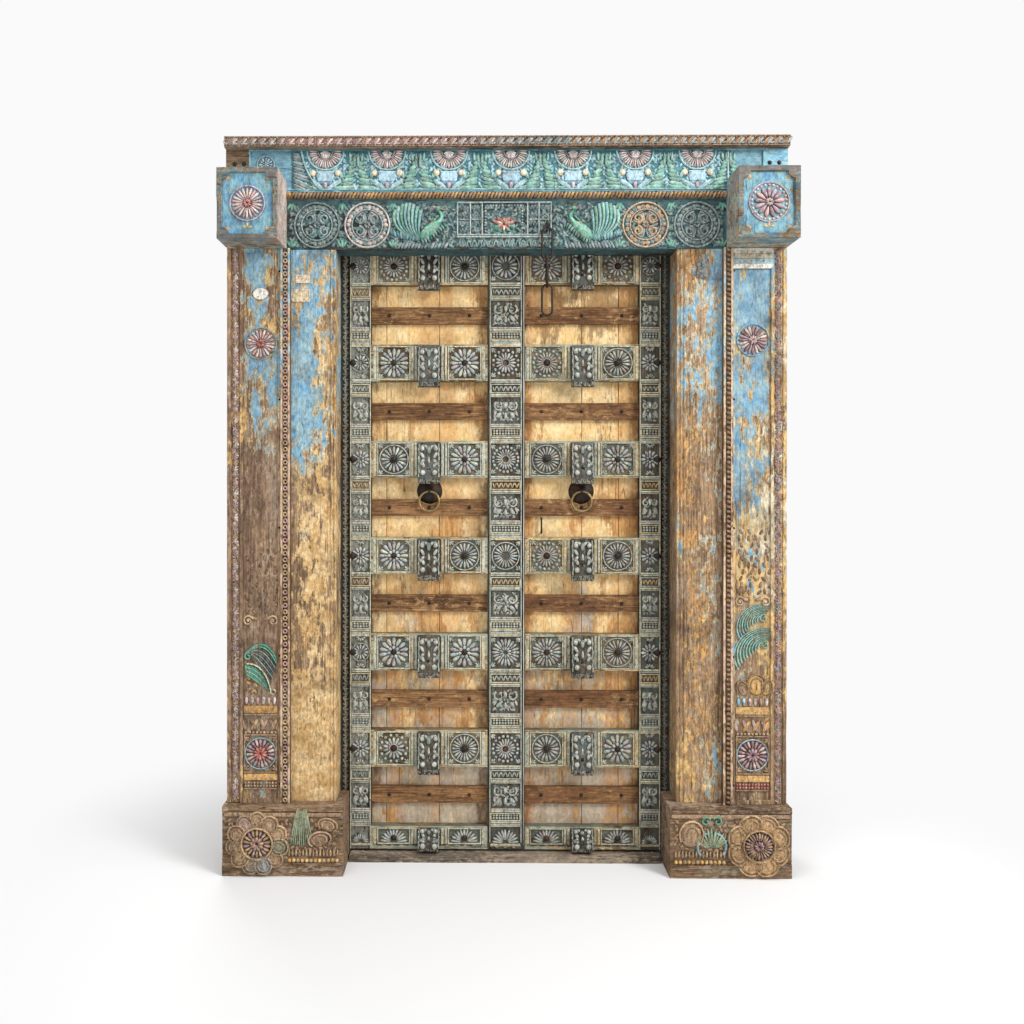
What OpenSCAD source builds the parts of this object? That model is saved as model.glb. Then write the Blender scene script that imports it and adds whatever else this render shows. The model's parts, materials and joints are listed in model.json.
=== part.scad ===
// Carved double temple door hung in its own timber frame.
// X runs to the right, Y away from the street side, Z up. The origin is at the
// bottom centre of the whole door's box.

/* [Doorway] */
// Clear width between the two jambs
doorway_w = 1080; // [1000:10:1160]
// Height from the ground to the underside of the lintel
doorway_h = 1972; // [1900:4:2040]
// Width of one jamb
jamb_w = 342; // [320:2:370]
// Depth of the frame timbers, from the street face to the wall side
frame_d = 200; // [195:1:220]
// Depth of the jamb in front of its rebate
jamb_stop_d = 110; // [108:0.5:111]
// Depth of the lintel in front of its rebate
lintel_stop_d = 94; // [88:1:96]
// How far the rebate reaches outwards from the jamb's inner edge
rebate_w = 60; // [58:1:64]

/* [Frame trim] */
// Width of the carved board on the outer half of a jamb
pilaster_w = 170; // [150:2:180]
// Thickness of that board
pilaster_t = 18; // [12:1:24]
// Width of the beaded strip beside it
bead_strip_w = 30; // [24:1:36]
// Thickness of the beaded strip
bead_strip_t = 24; // [18:1:30]
// Height of the lintel's front band
lintel_h = 157; // [140:1:170]
// Height of the rope moulding on top of the lintel
rope_h = 27; // [22:1:30]
// Height of the board above the lintel
head_board_h = 160; // [140:2:180]
// Thickness of that board
head_board_t = 55; // [40:1:70]
// Height of the cornice strip
cornice_h = 34; // [28:1:40]
// How far the cornice strip stands in front of the board
cornice_proud = 26; // [16:1:32]
// Width of a corner block
corner_w = 186; // [170:2:196]
// Height of a corner block
corner_h = 217; // [200:1:230]
// How far a corner block stands in front of the lintel
corner_proud = 144; // [100:2:160]

/* [Foot of the frame] */
// Height of a plinth block
plinth_h = 220; // [200:2:240]
// How far a plinth stands in front of the jamb
plinth_proud = 50; // [40:1:60]
// How far a plinth reaches into the doorway
plinth_inset = 30; // [20:1:30]
// How far a plinth stands outside the jamb
plinth_outset = 8; // [4:1:12]
// Height of the threshold board
threshold_h = 22; // [20:1:30]
// Distance from the jamb's street face to the threshold's front edge
threshold_y = 62; // [50:1:80]

/* [Leaves] */
// Thickness of the planks
plank_t = 25; // [20:1:28]
// Distance from the jamb's street face to the front of the planks
plank_y = 135; // [132:1:138]
// Distance from the jamb's street face to the front of rails and stiles
rail_y = 100; // [99:0.5:103]
// Height of a carved rail
rail_h = 121; // [110:1:130]
// Distance between rail centres
rail_pitch = 316; // [312:1:318]
// Depth of the sunk field on each rail
rail_sink = 4; // [3:0.5:5]
// Height of the rough batten between two rails
batten_h = 56; // [46:1:66]
// Thickness of that batten
batten_t = 16; // [12:1:20]
// Width of the carved stile that covers the middle of the doorway
centre_stile_w = 118; // [110:2:126]
// Gap between the two leaves
meeting_gap = 4; // [3.5:0.5:6]
// Radius of a hanging stile's round outer edge
hang_r = 26; // [24:0.5:26]
// Width of the narrow carved border of a hanging stile, seen beside the jamb
border_w = 33; // [30:1:36]
// Width of the raised part of a hanging stile
stile_w = 67; // [60:1:72]

/* [Pivots] */
// Radius of the bore that a wooden pivot turns in
pivot_bore_r = 20; // [16:0.5:21]
// Radial clearance of the pivot in its bore
pivot_clear = 0.05; // [0.02:0.01:0.1]
// Depth of the socket in the lintel
socket_d = 50; // [40:1:60]

/* [Ironwork] */
// Radius of the domed boss behind a ring pull
boss_r = 42; // [36:1:46]
// Height of that boss
boss_h = 18; // [14:1:20]
// Outer radius of a ring pull
pull_ring_r = 36; // [30:1:40]
// Radius of the bar that a ring pull is bent from
pull_bar_r = 3.5; // [2.5:0.25:4]
// Radius of the bar that the chain is forged from
chain_bar_r = 3.5; // [3:0.25:4]
// Outer width of a chain link
link_w = 39; // [36:1:44]
// Outer height of a chain link
link_h = 104; // [92:1:110]
// Distance from the doorway's middle to the chain
chain_x = 129; // [100:1:160]
// Height of the chain's upper end
chain_z = 2040; // [2030:1:2050]

/* [Hidden] */
$fn = 48;
eps = 0.01;
play = 0.3;                       // gap between loose iron loops
face_y = (corner_proud - frame_d) / 2; // street face of jambs and lintel
jamb_in = doorway_w / 2;
jamb_out = jamb_in + jamb_w;
rebate_x = jamb_in + rebate_w;
lintel_top = doorway_h + lintel_h;
head_top = lintel_top + head_board_h;
plinth_in = jamb_in - plinth_inset;
plinth_out = jamb_out + plinth_outset;

leaf_z = threshold_h + 8;
leaf_top = doorway_h + 40;
lintel_rebate_z = leaf_top + 6;
hang_x = jamb_in + hang_r;        // pivot axis of a leaf
hang_y = jamb_stop_d + 4 + hang_r;
stile_out = jamb_in - border_w;
stile_in = stile_out - stile_w;
left_meet = centre_stile_w / 2 + 2;
right_meet = left_meet + meeting_gap;
pivot_r = pivot_bore_r - pivot_clear;

rail_z0 = 1940;
rail_count = 7;
batten_z0 = rail_z0 - rail_pitch / 2;
bracket_w = 72;
bracket_drop = 20;
bracket_proud = 28;
stud_r = 9.5;
stile_stud_r = 13;
rosette_off = 116;                // rosettes stand this far from a rail's middle
pull_z = 1203;
eye_bar_r = 2.5;
eye_r = 6;
eye_y = plank_y - boss_h - eye_r - 2;

link_r = link_w / 2 - chain_bar_r;     // bend radius of a link's centreline
link_run = link_h - link_w;            // straight part of a link
link_drop = link_run + 2 * link_r - 2 * chain_bar_r - play; // hinge to hinge
chain_y = -16;
link_1_z = chain_z - link_w / 2;       // centre of the first link's upper bend

// A box given by its low and high corners, measured from the street face.
module block(low, high) {
    translate([0, face_y, 0] + low) cube(high - low);
}

// The right-hand piece as drawn, or its mirror image on the left.
module side(left) {
    if (left) mirror([1, 0, 0]) children();
    else children();
}

// A rod between two points, with round ends.
module rod(from, to, r) {
    run = to - from;
    length = norm(run);
    translate([0, face_y, 0] + from)
        rotate([0, acos(run[2] / length), atan2(run[1], run[0])])
            cylinder(h = length, r = r);
}

// A domed nail head that faces the street, with its base at the given depth.
module dome(x, y, z, r, h) {
    ball = (r * r + h * h) / (2 * h);
    translate([x, face_y + y, z]) rotate([90, 0, 0])
        rotate_extrude($fn = 24) intersection() {
            translate([0, h - ball]) circle(ball, $fn = 64);
            square([r, h]);
        }
}

// ---- frame ----

module jamb(left) {
    side(left) color("burlywood") difference() {
        union() {
            block([jamb_in, 0, plinth_h], [jamb_out, jamb_stop_d, doorway_h]);
            block([rebate_x, jamb_stop_d - eps, plinth_h],
                  [jamb_out, frame_d, doorway_h]);
        }
        // round flutes along the inner edge
        for (off = [9, 20])
            translate([jamb_in + off, face_y, plinth_h - 1])
                cylinder(h = doorway_h - plinth_h + 2, r = 3.5);
    }
}

module pilaster(left) {
    x1 = jamb_out;
    x0 = jamb_out - pilaster_w;
    side(left) color("lightsteelblue") difference() {
        block([x0, -pilaster_t, plinth_h], [x1, 0, doorway_h]);
        // sunk creeper border and sunk panel, parted by a fillet
        block([x1 - 41, -pilaster_t - 1, plinth_h - 1],
              [x1 - 12, -pilaster_t + 4, doorway_h + 1]);
        block([x0 + 8, -pilaster_t - 1, plinth_h + 14],
              [x1 - 50, -pilaster_t + 6, doorway_h - 14]);
    }
}

module bead_strip(left) {
    x1 = jamb_out - pilaster_w;
    x0 = x1 - bead_strip_w;
    side(left) color("peru")
        difference() {
            block([x0, -bead_strip_t, plinth_h], [x1, 0, doorway_h]);
            block([x0 + 7, -bead_strip_t - 1, plinth_h - 1],
                  [x1 - 7, -bead_strip_t + 5, doorway_h + 1]);
        }
}

module plinth(left) {
    front = plinth_proud;
    side(left) color("rosybrown") union() {
        block([plinth_in, 4 - front, 0],
              [plinth_out, jamb_stop_d - 2, plinth_h]);
        block([rebate_x, jamb_stop_d - 2 - eps, 0],
              [plinth_out, frame_d, plinth_h]);
        // base band, bead line and top moulding
        block([plinth_in, -front, 0], [plinth_out, 5 - front, 42]);
        block([plinth_in, 1 - front, 50], [plinth_out, 5 - front, 58]);
        block([plinth_in, -front, plinth_h - 18],
              [plinth_out, 5 - front, plinth_h]);
    }
}

module corner_block(left) {
    rim = 15;
    hollow = 22;                  // radius of the field's concave corners
    w = corner_w - 2 * rim;
    h = corner_h - 2 * rim;
    mid = [jamb_out - corner_w / 2, doorway_h + corner_h / 2];
    side(left) color("lightblue") difference() {
        block([jamb_out - corner_w, -corner_proud, doorway_h],
              [jamb_out, 0, doorway_h + corner_h]);
        translate([mid[0], face_y - corner_proud + 9, mid[1]])
            rotate([90, 0, 0]) linear_extrude(height = 20)
                difference() {
                    square([w, h], center = true);
                    for (sx = [-1, 1], sz = [-1, 1])
                        translate([sx * w / 2, sz * h / 2]) circle(hollow);
                }
    }
}

module lintel_beam() {
    color("cadetblue") difference() {
        block([-jamb_out, 0, doorway_h], [jamb_out, frame_d, lintel_top]);
        block([-rebate_x, lintel_stop_d, doorway_h - 1],
              [rebate_x, frame_d + 1, lintel_rebate_z]);
        for (sx = [-1, 1])
            translate([sx * hang_x, face_y + hang_y, lintel_rebate_z - 1])
                cylinder(h = socket_d + 1, r = pivot_bore_r);
    }
}

module rope_moulding() {
    x = jamb_out - corner_w - 2;
    r = rope_h / 2;
    color("goldenrod") union() {
        block([-x, -8, lintel_top], [x, 0, lintel_top + rope_h]);
        intersection() {
            translate([-x, face_y - 8, lintel_top + r]) rotate([0, 90, 0])
                cylinder(h = 2 * x, r = r);
            block([-x, -rope_h, lintel_top], [x, -1, lintel_top + rope_h]);
        }
    }
}

module head_board() {
    color("lightblue") difference() {
        block([-jamb_out - 8, 0, lintel_top], [jamb_out + 8, head_board_t, head_top]);
        // sunk frieze
        block([-jamb_out + 70, -1, lintel_top + rope_h + 4],
              [jamb_out - 70, 6, head_top - 4]);
    }
}

module cornice_strip() {
    x = jamb_out + 8;
    color("indianred") translate([-x, face_y, head_top]) rotate([90, 0, 90])
        linear_extrude(height = 2 * x) polygon([
            [head_board_t + 4, 0], [head_board_t + 4, cornice_h],
            [6 - cornice_proud, cornice_h], [-cornice_proud, cornice_h - 8],
            [-cornice_proud, 8], [8 - cornice_proud, 0]
        ]);
}

module threshold() {
    color("dimgray") difference() {
        union() {
            block([4 - plinth_in, threshold_y, 0],
                  [plinth_in - 4, jamb_stop_d, threshold_h]);
            block([2 - rebate_x, jamb_stop_d - eps, 0],
                  [rebate_x - 2, frame_d, threshold_h]);
        }
        for (sx = [-1, 1])
            translate([sx * hang_x, face_y + hang_y, 6])
                cylinder(h = threshold_h, r = pivot_bore_r);
    }
}

module pivot_shoe(left) {
    side(left) color("dimgray") difference() {
        block([hang_x - 32, hang_y - 28, threshold_h],
              [hang_x + 32, hang_y + 32, threshold_h + 6]);
        translate([hang_x, face_y + hang_y, threshold_h - 1])
            cylinder(h = 8, r = pivot_bore_r);
    }
}

module frame_nails() {
    color("dimgray") {
        for (left = [false, true], n = [0:4]) side(left)
            dome(jamb_out - pilaster_w + 4, -pilaster_t, plinth_h + 60 + n * 405, 3.5, 2);
        for (sx = [-1, 1], off = [20, 50])
            dome(sx * (jamb_out - off), 0, head_top - 45, 7, 4);
    }
}

// ---- leaves ----

module hanging_stile(left) {
    side(left) color("saddlebrown") union() {
        block([stile_in, hang_y - hang_r, leaf_z], [hang_x, hang_y + hang_r, leaf_top]);
        block([stile_in, rail_y, leaf_z], [stile_out, hang_y - hang_r + eps, leaf_top]);
        translate([hang_x, face_y + hang_y, leaf_z])
            cylinder(h = leaf_top - leaf_z, r = hang_r);
        // wooden pivots at both ends of the round edge
        translate([hang_x, face_y + hang_y, 8])
            cylinder(h = lintel_rebate_z + socket_d - 6 - 8, r = pivot_r);
    }
}

module centre_stile() {
    color("saddlebrown") difference() {
        block([left_meet - centre_stile_w, rail_y, leaf_z],
              [left_meet, plank_y + plank_t + 6, leaf_top]);
        // round flutes beside both edges
        for (x = [left_meet - 6, left_meet - centre_stile_w + 6])
            translate([x, face_y + rail_y, leaf_z - 1])
                cylinder(h = leaf_top, r = 2.5);
    }
}

function inner_edge(left) = left ? centre_stile_w - left_meet : right_meet;
function leaf_mid(left) = (inner_edge(left) + stile_in) / 2;
// Plank joints, from the doorway's middle outwards.
function plank_joints(left) = left ? [inner_edge(left), 215, 390, stile_in]
                                   : [inner_edge(left), 254, 375, stile_in];

module plank(left, n) {
    joints = plank_joints(left);
    gap = 1.5;
    side(left) color("darkgoldenrod")
        block([joints[n - 1] + (n > 1 ? gap : 0), plank_y, leaf_z],
              [joints[n], plank_y + plank_t, leaf_top]);
}

function rail_z(n) = rail_z0 - (n - 1) * rail_pitch;
function rail_low(n) = max(rail_z(n) - rail_h / 2, leaf_z);

module rail(left, n) {
    x0 = inner_edge(left);
    low = rail_low(n);
    high = rail_z(n) + rail_h / 2;
    side(left) color("tan") difference() {
        block([x0, rail_y, low], [stile_in, plank_y, high]);
        block([x0 + 9, rail_y - 1, low + 9],
              [stile_in - 9, rail_y + rail_sink, high - 9]);
    }
}

module battens(left) {
    side(left) color("sienna") difference() {
        for (n = [0:rail_count - 2]) {
            z = batten_z0 - n * rail_pitch;
            block([inner_edge(left), plank_y - batten_t, z - batten_h / 2],
                  [stile_in, plank_y, z + batten_h / 2]);
        }
        // the third batten is cut away round the boss of the ring pull
        translate([leaf_mid(left), face_y + plank_y + 1, pull_z])
            rotate([90, 0, 0]) cylinder(h = batten_t + 2, r = boss_r + 1);
    }
}

// Projecting carved block in the middle of each rail, bellied and undercut.
module brackets(left) {
    mid = leaf_mid(left);
    side(left) color("wheat")
        for (n = [1:rail_count]) {
            high = min(rail_z(n) + rail_h / 2 - 4, doorway_h - 6);
            low = n == rail_count ? rail_low(n) : rail_z(n) - rail_h / 2 - bracket_drop;
            belly = low + 0.3 * (high - low);
            translate([mid - bracket_w / 2, face_y, 0]) rotate([90, 0, 90])
                linear_extrude(height = bracket_w) polygon([
                    [rail_y, low], [rail_y, high], [rail_y - 7, high],
                    [rail_y - 0.6 * bracket_proud, (high + belly) / 2],
                    [rail_y - bracket_proud, belly],
                    [rail_y - bracket_proud + 4, low + 6],
                    [rail_y - bracket_proud + 12, low]
                ]);
        }
}

module studs(left) {
    mid = leaf_mid(left);
    side(left) color("dimgray") {
        for (n = [1:rail_count]) {
            z = n == rail_count ? (rail_low(n) + rail_z(n) + rail_h / 2) / 2 : rail_z(n);
            for (sx = [-1, 1])
                dome(mid + sx * rosette_off, rail_y + rail_sink, z, stud_r, 14);
        }
        // the lowest rail's stud would foul the plinth, so it has none
        for (n = [1:rail_count - 1]) dome(stile_out - 9, rail_y, rail_z(n), stile_stud_r, 11);
        for (n = [0:rail_count - 2], off = [-132, 0, 132])
            dome(mid + off, plank_y - batten_t, batten_z0 - n * rail_pitch, 6, 5);
    }
}

// ---- ring pulls ----

module pull_boss(left) {
    side(left) color("dimgray") {
        dome(leaf_mid(left), plank_y, pull_z, boss_r, boss_h);
        // the eye that holds the ring, with its shank down into the boss
        translate([leaf_mid(left), face_y + eye_y, pull_z + eye_r - pull_bar_r - play])
            rotate([0, 90, 0]) rotate_extrude()
                translate([eye_r + eye_bar_r, 0]) circle(eye_bar_r);
        rod([leaf_mid(left), eye_y + eye_r + 1.5, pull_z + eye_r - pull_bar_r - play],
            [leaf_mid(left), plank_y - 1, pull_z + eye_r - pull_bar_r - play], 3.5);
    }
}

module pull_ring(left) {
    r = pull_ring_r - pull_bar_r;
    side(left) color("goldenrod")
        translate([leaf_mid(left), face_y + eye_y, pull_z - r])
            rotate([90, 0, 0]) rotate_extrude()
                translate([r, 0]) circle(pull_bar_r);
}

module leaf_staple() {
    x = 121;
    low = 1066;
    high = 1114;
    out = plank_y - 13;
    r = 3;
    color("dimgray") union() {
        rod([x, out, low], [x, out, high], r);
        for (z = [low, high]) {
            rod([x, out, z], [x, plank_y, z], r);
            translate([x, face_y + out, z]) sphere(r);
        }
    }
}

// ---- chain ----

// A forged link: two straight sides and two half rings, hanging in the XZ
// plane from the centre of its upper bend.
module link_loop(run) {
    for (dz = [0, -run], up = [dz == 0 ? 1 : -1])
        translate([0, 0, dz]) rotate([90, 0, 0])
            rotate([0, 0, up > 0 ? 0 : 180])
                rotate_extrude(angle = 180) translate([link_r, 0])
                    circle(chain_bar_r, $fn = 32);
    for (sx = [-1, 1])
        translate([sx * link_r, 0, -run]) cylinder(h = run, r = chain_bar_r, $fn = 32);
}

module chain_link(n) {
    z = link_1_z - (n - 1) * link_drop;
    color("dimgray") translate([chain_x, face_y + chain_y, z])
        rotate([0, 0, n == 2 ? 90 : 0]) link_loop(link_run);
}

module chain_staple() {
    low = link_1_z + link_r - 2 * chain_bar_r - play;
    gap = 24;
    out = chain_y - 10;
    color("dimgray") {
        for (z = [low, low + gap])
            rod([chain_x, out, z], [chain_x, 0, z], chain_bar_r);
        translate([chain_x, face_y + out, low + gap / 2])
            rotate([0, -90, 0]) rotate([0, 0, 180])
                rotate_extrude(angle = 180) translate([gap / 2, 0])
                    circle(chain_bar_r, $fn = 32);
    }
}

jamb(true);  // left_jamb
jamb(false);  // right_jamb
pilaster(true);  // left_pilaster
pilaster(false);  // right_pilaster
bead_strip(true);  // left_bead_strip
bead_strip(false);  // right_bead_strip
plinth(true);  // left_plinth
plinth(false);  // right_plinth
corner_block(true);  // left_corner_block
corner_block(false);  // right_corner_block
lintel_beam();
rope_moulding();
head_board();
cornice_strip();
threshold();
pivot_shoe(true);  // left_pivot_shoe
pivot_shoe(false);  // right_pivot_shoe
frame_nails();
chain_staple();
chain_link(1);  // chain_link_1
chain_link(2);  // chain_link_2
chain_link(3);  // chain_link_3
hanging_stile(true);  // left_hanging_stile
hanging_stile(false);  // right_hanging_stile
centre_stile();
plank(true, 1);  // left_plank_1
plank(true, 2);  // left_plank_2
plank(true, 3);  // left_plank_3
plank(false, 1);  // right_plank_1
plank(false, 2);  // right_plank_2
plank(false, 3);  // right_plank_3
rail(true, 1);  // left_rail_1
rail(true, 2);  // left_rail_2
rail(true, 3);  // left_rail_3
rail(true, 4);  // left_rail_4
rail(true, 5);  // left_rail_5
rail(true, 6);  // left_rail_6
rail(true, 7);  // left_rail_7
rail(false, 1);  // right_rail_1
rail(false, 2);  // right_rail_2
rail(false, 3);  // right_rail_3
rail(false, 4);  // right_rail_4
rail(false, 5);  // right_rail_5
rail(false, 6);  // right_rail_6
rail(false, 7);  // right_rail_7
battens(true);  // left_battens
battens(false);  // right_battens
brackets(true);  // left_brackets
brackets(false);  // right_brackets
studs(true);  // left_studs
studs(false);  // right_studs
pull_boss(true);  // left_pull_boss
pull_boss(false);  // right_pull_boss
pull_ring(true);  // left_pull_ring
pull_ring(false);  // right_pull_ring
leaf_staple();
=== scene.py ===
import json
import math
import random

import bmesh
import bpy
import numpy as np
from mathutils import Matrix, Vector, noise

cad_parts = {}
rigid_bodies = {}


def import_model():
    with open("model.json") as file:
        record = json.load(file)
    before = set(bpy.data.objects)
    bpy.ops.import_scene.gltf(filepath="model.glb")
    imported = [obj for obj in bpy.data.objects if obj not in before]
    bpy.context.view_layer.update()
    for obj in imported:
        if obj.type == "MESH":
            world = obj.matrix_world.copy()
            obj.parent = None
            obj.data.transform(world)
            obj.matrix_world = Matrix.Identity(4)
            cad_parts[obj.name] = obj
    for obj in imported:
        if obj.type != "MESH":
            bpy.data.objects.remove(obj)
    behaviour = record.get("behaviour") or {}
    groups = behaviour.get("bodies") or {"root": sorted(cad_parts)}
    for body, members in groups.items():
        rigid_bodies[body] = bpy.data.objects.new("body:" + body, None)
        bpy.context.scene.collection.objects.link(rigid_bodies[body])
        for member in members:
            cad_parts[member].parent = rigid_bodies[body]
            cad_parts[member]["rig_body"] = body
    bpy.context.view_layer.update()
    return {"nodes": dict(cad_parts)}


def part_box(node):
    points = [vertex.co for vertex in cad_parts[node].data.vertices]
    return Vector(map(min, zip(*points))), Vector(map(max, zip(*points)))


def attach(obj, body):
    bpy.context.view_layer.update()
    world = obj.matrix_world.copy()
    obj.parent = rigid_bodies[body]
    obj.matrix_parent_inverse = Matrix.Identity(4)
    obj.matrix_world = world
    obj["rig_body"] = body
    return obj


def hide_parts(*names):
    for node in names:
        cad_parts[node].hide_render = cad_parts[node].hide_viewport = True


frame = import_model()
nodes = frame["nodes"]
metre = 1000.0  # carving is laid out in millimetres and shrunk to metres at the end


def span(name):
    # lowest and highest corner of a CAD node, in millimetres
    low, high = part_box(name)
    return low * metre, high * metre


def tone(code):
    # a paint colour as people write it, made linear for the renderer
    channels = [int(code[i:i + 2], 16) / 255 for i in (0, 2, 4)]
    linear = [c / 12.92 if c <= 0.04045 else ((c + 0.055) / 1.055) ** 2.4 for c in channels]
    return (*linear, 1.0)


def blendTones(first, second, share):
    return tuple(a + (b - a) * share for a, b in zip(first, second))


studio = {
    "eye": (-0.0919, -3.0528, 1.2528),
    "turn": 0.0109,  # the camera's angles are in radians from level and straight ahead
    "tilt": -0.0025,
    "roll": -0.0006,
    "lens": 33.53,
    "shift": (0.0444, -0.0326),
    "sky": 0.52,
    "backdrop": (0.955, 0.955, 0.955, 1),
    "floor": (0.73, 0.73, 0.73, 1),
    "floorEnds": (0.9, 1.9),  # how far from the door the floor starts and ends its way into the backdrop
    "lights": {  # place, target, size and power
        "keyLight": ((3.3, -2.9, 3.5), (0, 0, 1.1), (1.6, 1.6), 205),
        "fillLight": ((-3.2, -3.4, 1.8), (0, 0, 1.1), (2.2, 2.6), 26),
        "topLight": ((0.2, -0.9, 4.6), (0, 0, 0.6), (3.0, 1.6), 95),
        "backLight": ((-1.8, 3.6, 3.4), (0, 0, 1.1), (2.4, 2.4), 90),
    },
}


def setUpStudio():
    scene = bpy.context.scene
    scene.view_settings.view_transform = "Standard"
    camera = bpy.data.objects.new("camera", bpy.data.cameras.new("camera"))
    scene.collection.objects.link(camera)
    camera.data.lens = studio["lens"]
    camera.data.sensor_width = 36
    camera.data.shift_x, camera.data.shift_y = studio["shift"]
    camera.matrix_world = (
        Matrix.Translation(studio["eye"])
        @ Matrix.Rotation(studio["turn"], 4, "Z")
        @ Matrix.Rotation(studio["tilt"] + math.pi / 2, 4, "X")
        @ Matrix.Rotation(-studio["roll"], 4, "Z")
    )
    scene.camera = camera

    world = bpy.data.worlds.new("sky")
    world.use_nodes = True
    back = world.node_tree.nodes["Background"]
    back.inputs["Color"].default_value = (0.97, 0.98, 1.0, 1)
    back.inputs["Strength"].default_value = studio["sky"]
    seen = world.node_tree.nodes.new("ShaderNodeBackground")
    seen.inputs["Color"].default_value = studio["backdrop"]
    rays = world.node_tree.nodes.new("ShaderNodeLightPath")
    mix = world.node_tree.nodes.new("ShaderNodeMixShader")
    link = world.node_tree.links.new
    link(rays.outputs["Is Camera Ray"], mix.inputs[0])
    link(back.outputs[0], mix.inputs[1])
    link(seen.outputs[0], mix.inputs[2])
    link(mix.outputs[0], world.node_tree.nodes["World Output"].inputs[0])
    scene.world = world

    def softbox(name, place, target, size, power):
        light = bpy.data.lights.new(name, "AREA")
        light.shape = "RECTANGLE"
        light.size, light.size_y = size
        light.energy = power
        box = bpy.data.objects.new(name, light)
        scene.collection.objects.link(box)
        aim = Vector(target) - Vector(place)
        box.matrix_world = Matrix.Translation(place) @ aim.to_track_quat("-Z", "Y").to_matrix().to_4x4()

    for lightName, settings in studio["lights"].items():
        softbox(lightName, *settings)

    mesh = bpy.data.meshes.new("floor")
    ground = bmesh.new()
    bmesh.ops.create_grid(ground, x_segments=1, y_segments=1, size=40)
    ground.to_mesh(mesh)
    ground.free()
    floor = bpy.data.objects.new("floor", mesh)
    scene.collection.objects.link(floor)
    floorPaint = bpy.data.materials.new("paleFloor")
    floorPaint.use_nodes = True
    tree = floorPaint.node_tree
    shader = tree.nodes["Principled BSDF"]
    shader.inputs["Base Color"].default_value = studio["floor"]
    shader.inputs["Roughness"].default_value = 0.9
    shader.inputs["Specular IOR Level"].default_value = 0.0
    glow = tree.nodes.new("ShaderNodeEmission")  # far from the door the floor runs into the backdrop
    glow.inputs["Color"].default_value = studio["backdrop"]
    spot = tree.nodes.new("ShaderNodeTexCoord")
    reach = tree.nodes.new("ShaderNodeVectorMath")
    reach.operation = "LENGTH"
    edge = tree.nodes.new("ShaderNodeMapRange")
    edge.interpolation_type = "SMOOTHSTEP"
    edge.inputs[1].default_value, edge.inputs[2].default_value = studio["floorEnds"]
    blend = tree.nodes.new("ShaderNodeMixShader")
    tree.links.new(spot.outputs["Object"], reach.inputs[0])
    tree.links.new(reach.outputs["Value"], edge.inputs[0])
    tree.links.new(edge.outputs[0], blend.inputs[0])
    tree.links.new(shader.outputs[0], blend.inputs[1])
    tree.links.new(glow.outputs[0], blend.inputs[2])
    tree.links.new(blend.outputs[0], tree.nodes["Material Output"].inputs[0])
    mesh.materials.append(floorPaint)


setUpStudio()
print("studio is set up")


class Value:
    # one output socket, so that shader maths reads as plain arithmetic
    def __init__(self, finish, socket):
        self.finish, self.socket = finish, socket

    def calc(self, operation, *others):
        inputs = dict(enumerate((self, *others)))
        return self.finish.node("ShaderNodeMath", {"operation": operation}, inputs)

    def __add__(self, other):
        return self.calc("ADD", other)

    __radd__ = __add__

    def __mul__(self, other):
        return self.calc("MULTIPLY", other)

    __rmul__ = __mul__

    def __sub__(self, other):
        return self.calc("SUBTRACT", other)

    def __rsub__(self, other):
        return self.finish.node("ShaderNodeMath", {"operation": "SUBTRACT"}, {0: other, 1: self})

    def __abs__(self):
        return self.calc("ABSOLUTE")


class Finish:
    # a procedural material under construction
    def __init__(self, name):
        self.material = bpy.data.materials.new(name)
        self.material.use_nodes = True
        self.tree = self.material.node_tree
        self.shader = self.tree.nodes["Principled BSDF"]

    def node(self, kind, settings=None, sockets=None, out=0):
        made = self.tree.nodes.new(kind)
        for key, value in (settings or {}).items():
            if key == "stops":
                while len(made.color_ramp.elements) < len(value):
                    made.color_ramp.elements.new(0.5)
                for element, (place, colour) in zip(made.color_ramp.elements, value):
                    element.position, element.color = place, colour
            else:
                setattr(made, key, value)
        for key, value in (sockets or {}).items():
            if isinstance(value, Value):
                self.tree.links.new(value.socket, made.inputs[key])
            else:
                made.inputs[key].default_value = value
        return Value(self, made.outputs[out])

    def feed(self, **sockets):
        for key, value in sockets.items():
            target = self.shader.inputs[key.replace("_", " ")]
            if isinstance(value, Value):
                self.tree.links.new(value.socket, target)
            else:
                target.default_value = value

    def place(self):
        return self.node("ShaderNodeTexCoord", out="Object")

    def moved(self, space, scale=(1, 1, 1), shift=(0, 0, 0)):
        return self.node("ShaderNodeMapping", {}, {"Vector": space, "Location": shift, "Scale": scale})

    def noise(self, space, scale, detail=5, rough=0.6, bend=0.0):
        return self.node("ShaderNodeTexNoise", {}, {
            "Vector": space, "Scale": scale, "Detail": detail, "Roughness": rough, "Distortion": bend})

    def fade(self, value, low, high):
        return self.node("ShaderNodeMapRange", {"interpolation_type": "SMOOTHSTEP"},
                         {0: value, 1: low, 2: high, 3: 0.0, 4: 1.0})

    def mix(self, first, second, share):
        return self.node("ShaderNodeMix", {"data_type": "RGBA", "blend_type": "MIX", "clamp_factor": True},
                         {0: share, 6: first, 7: second}, out=2)


def stretched(grain, amount):
    return {"x": (amount, 1, 1), "y": (1, amount, 1), "z": (1, 1, amount)}[grain]


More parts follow.
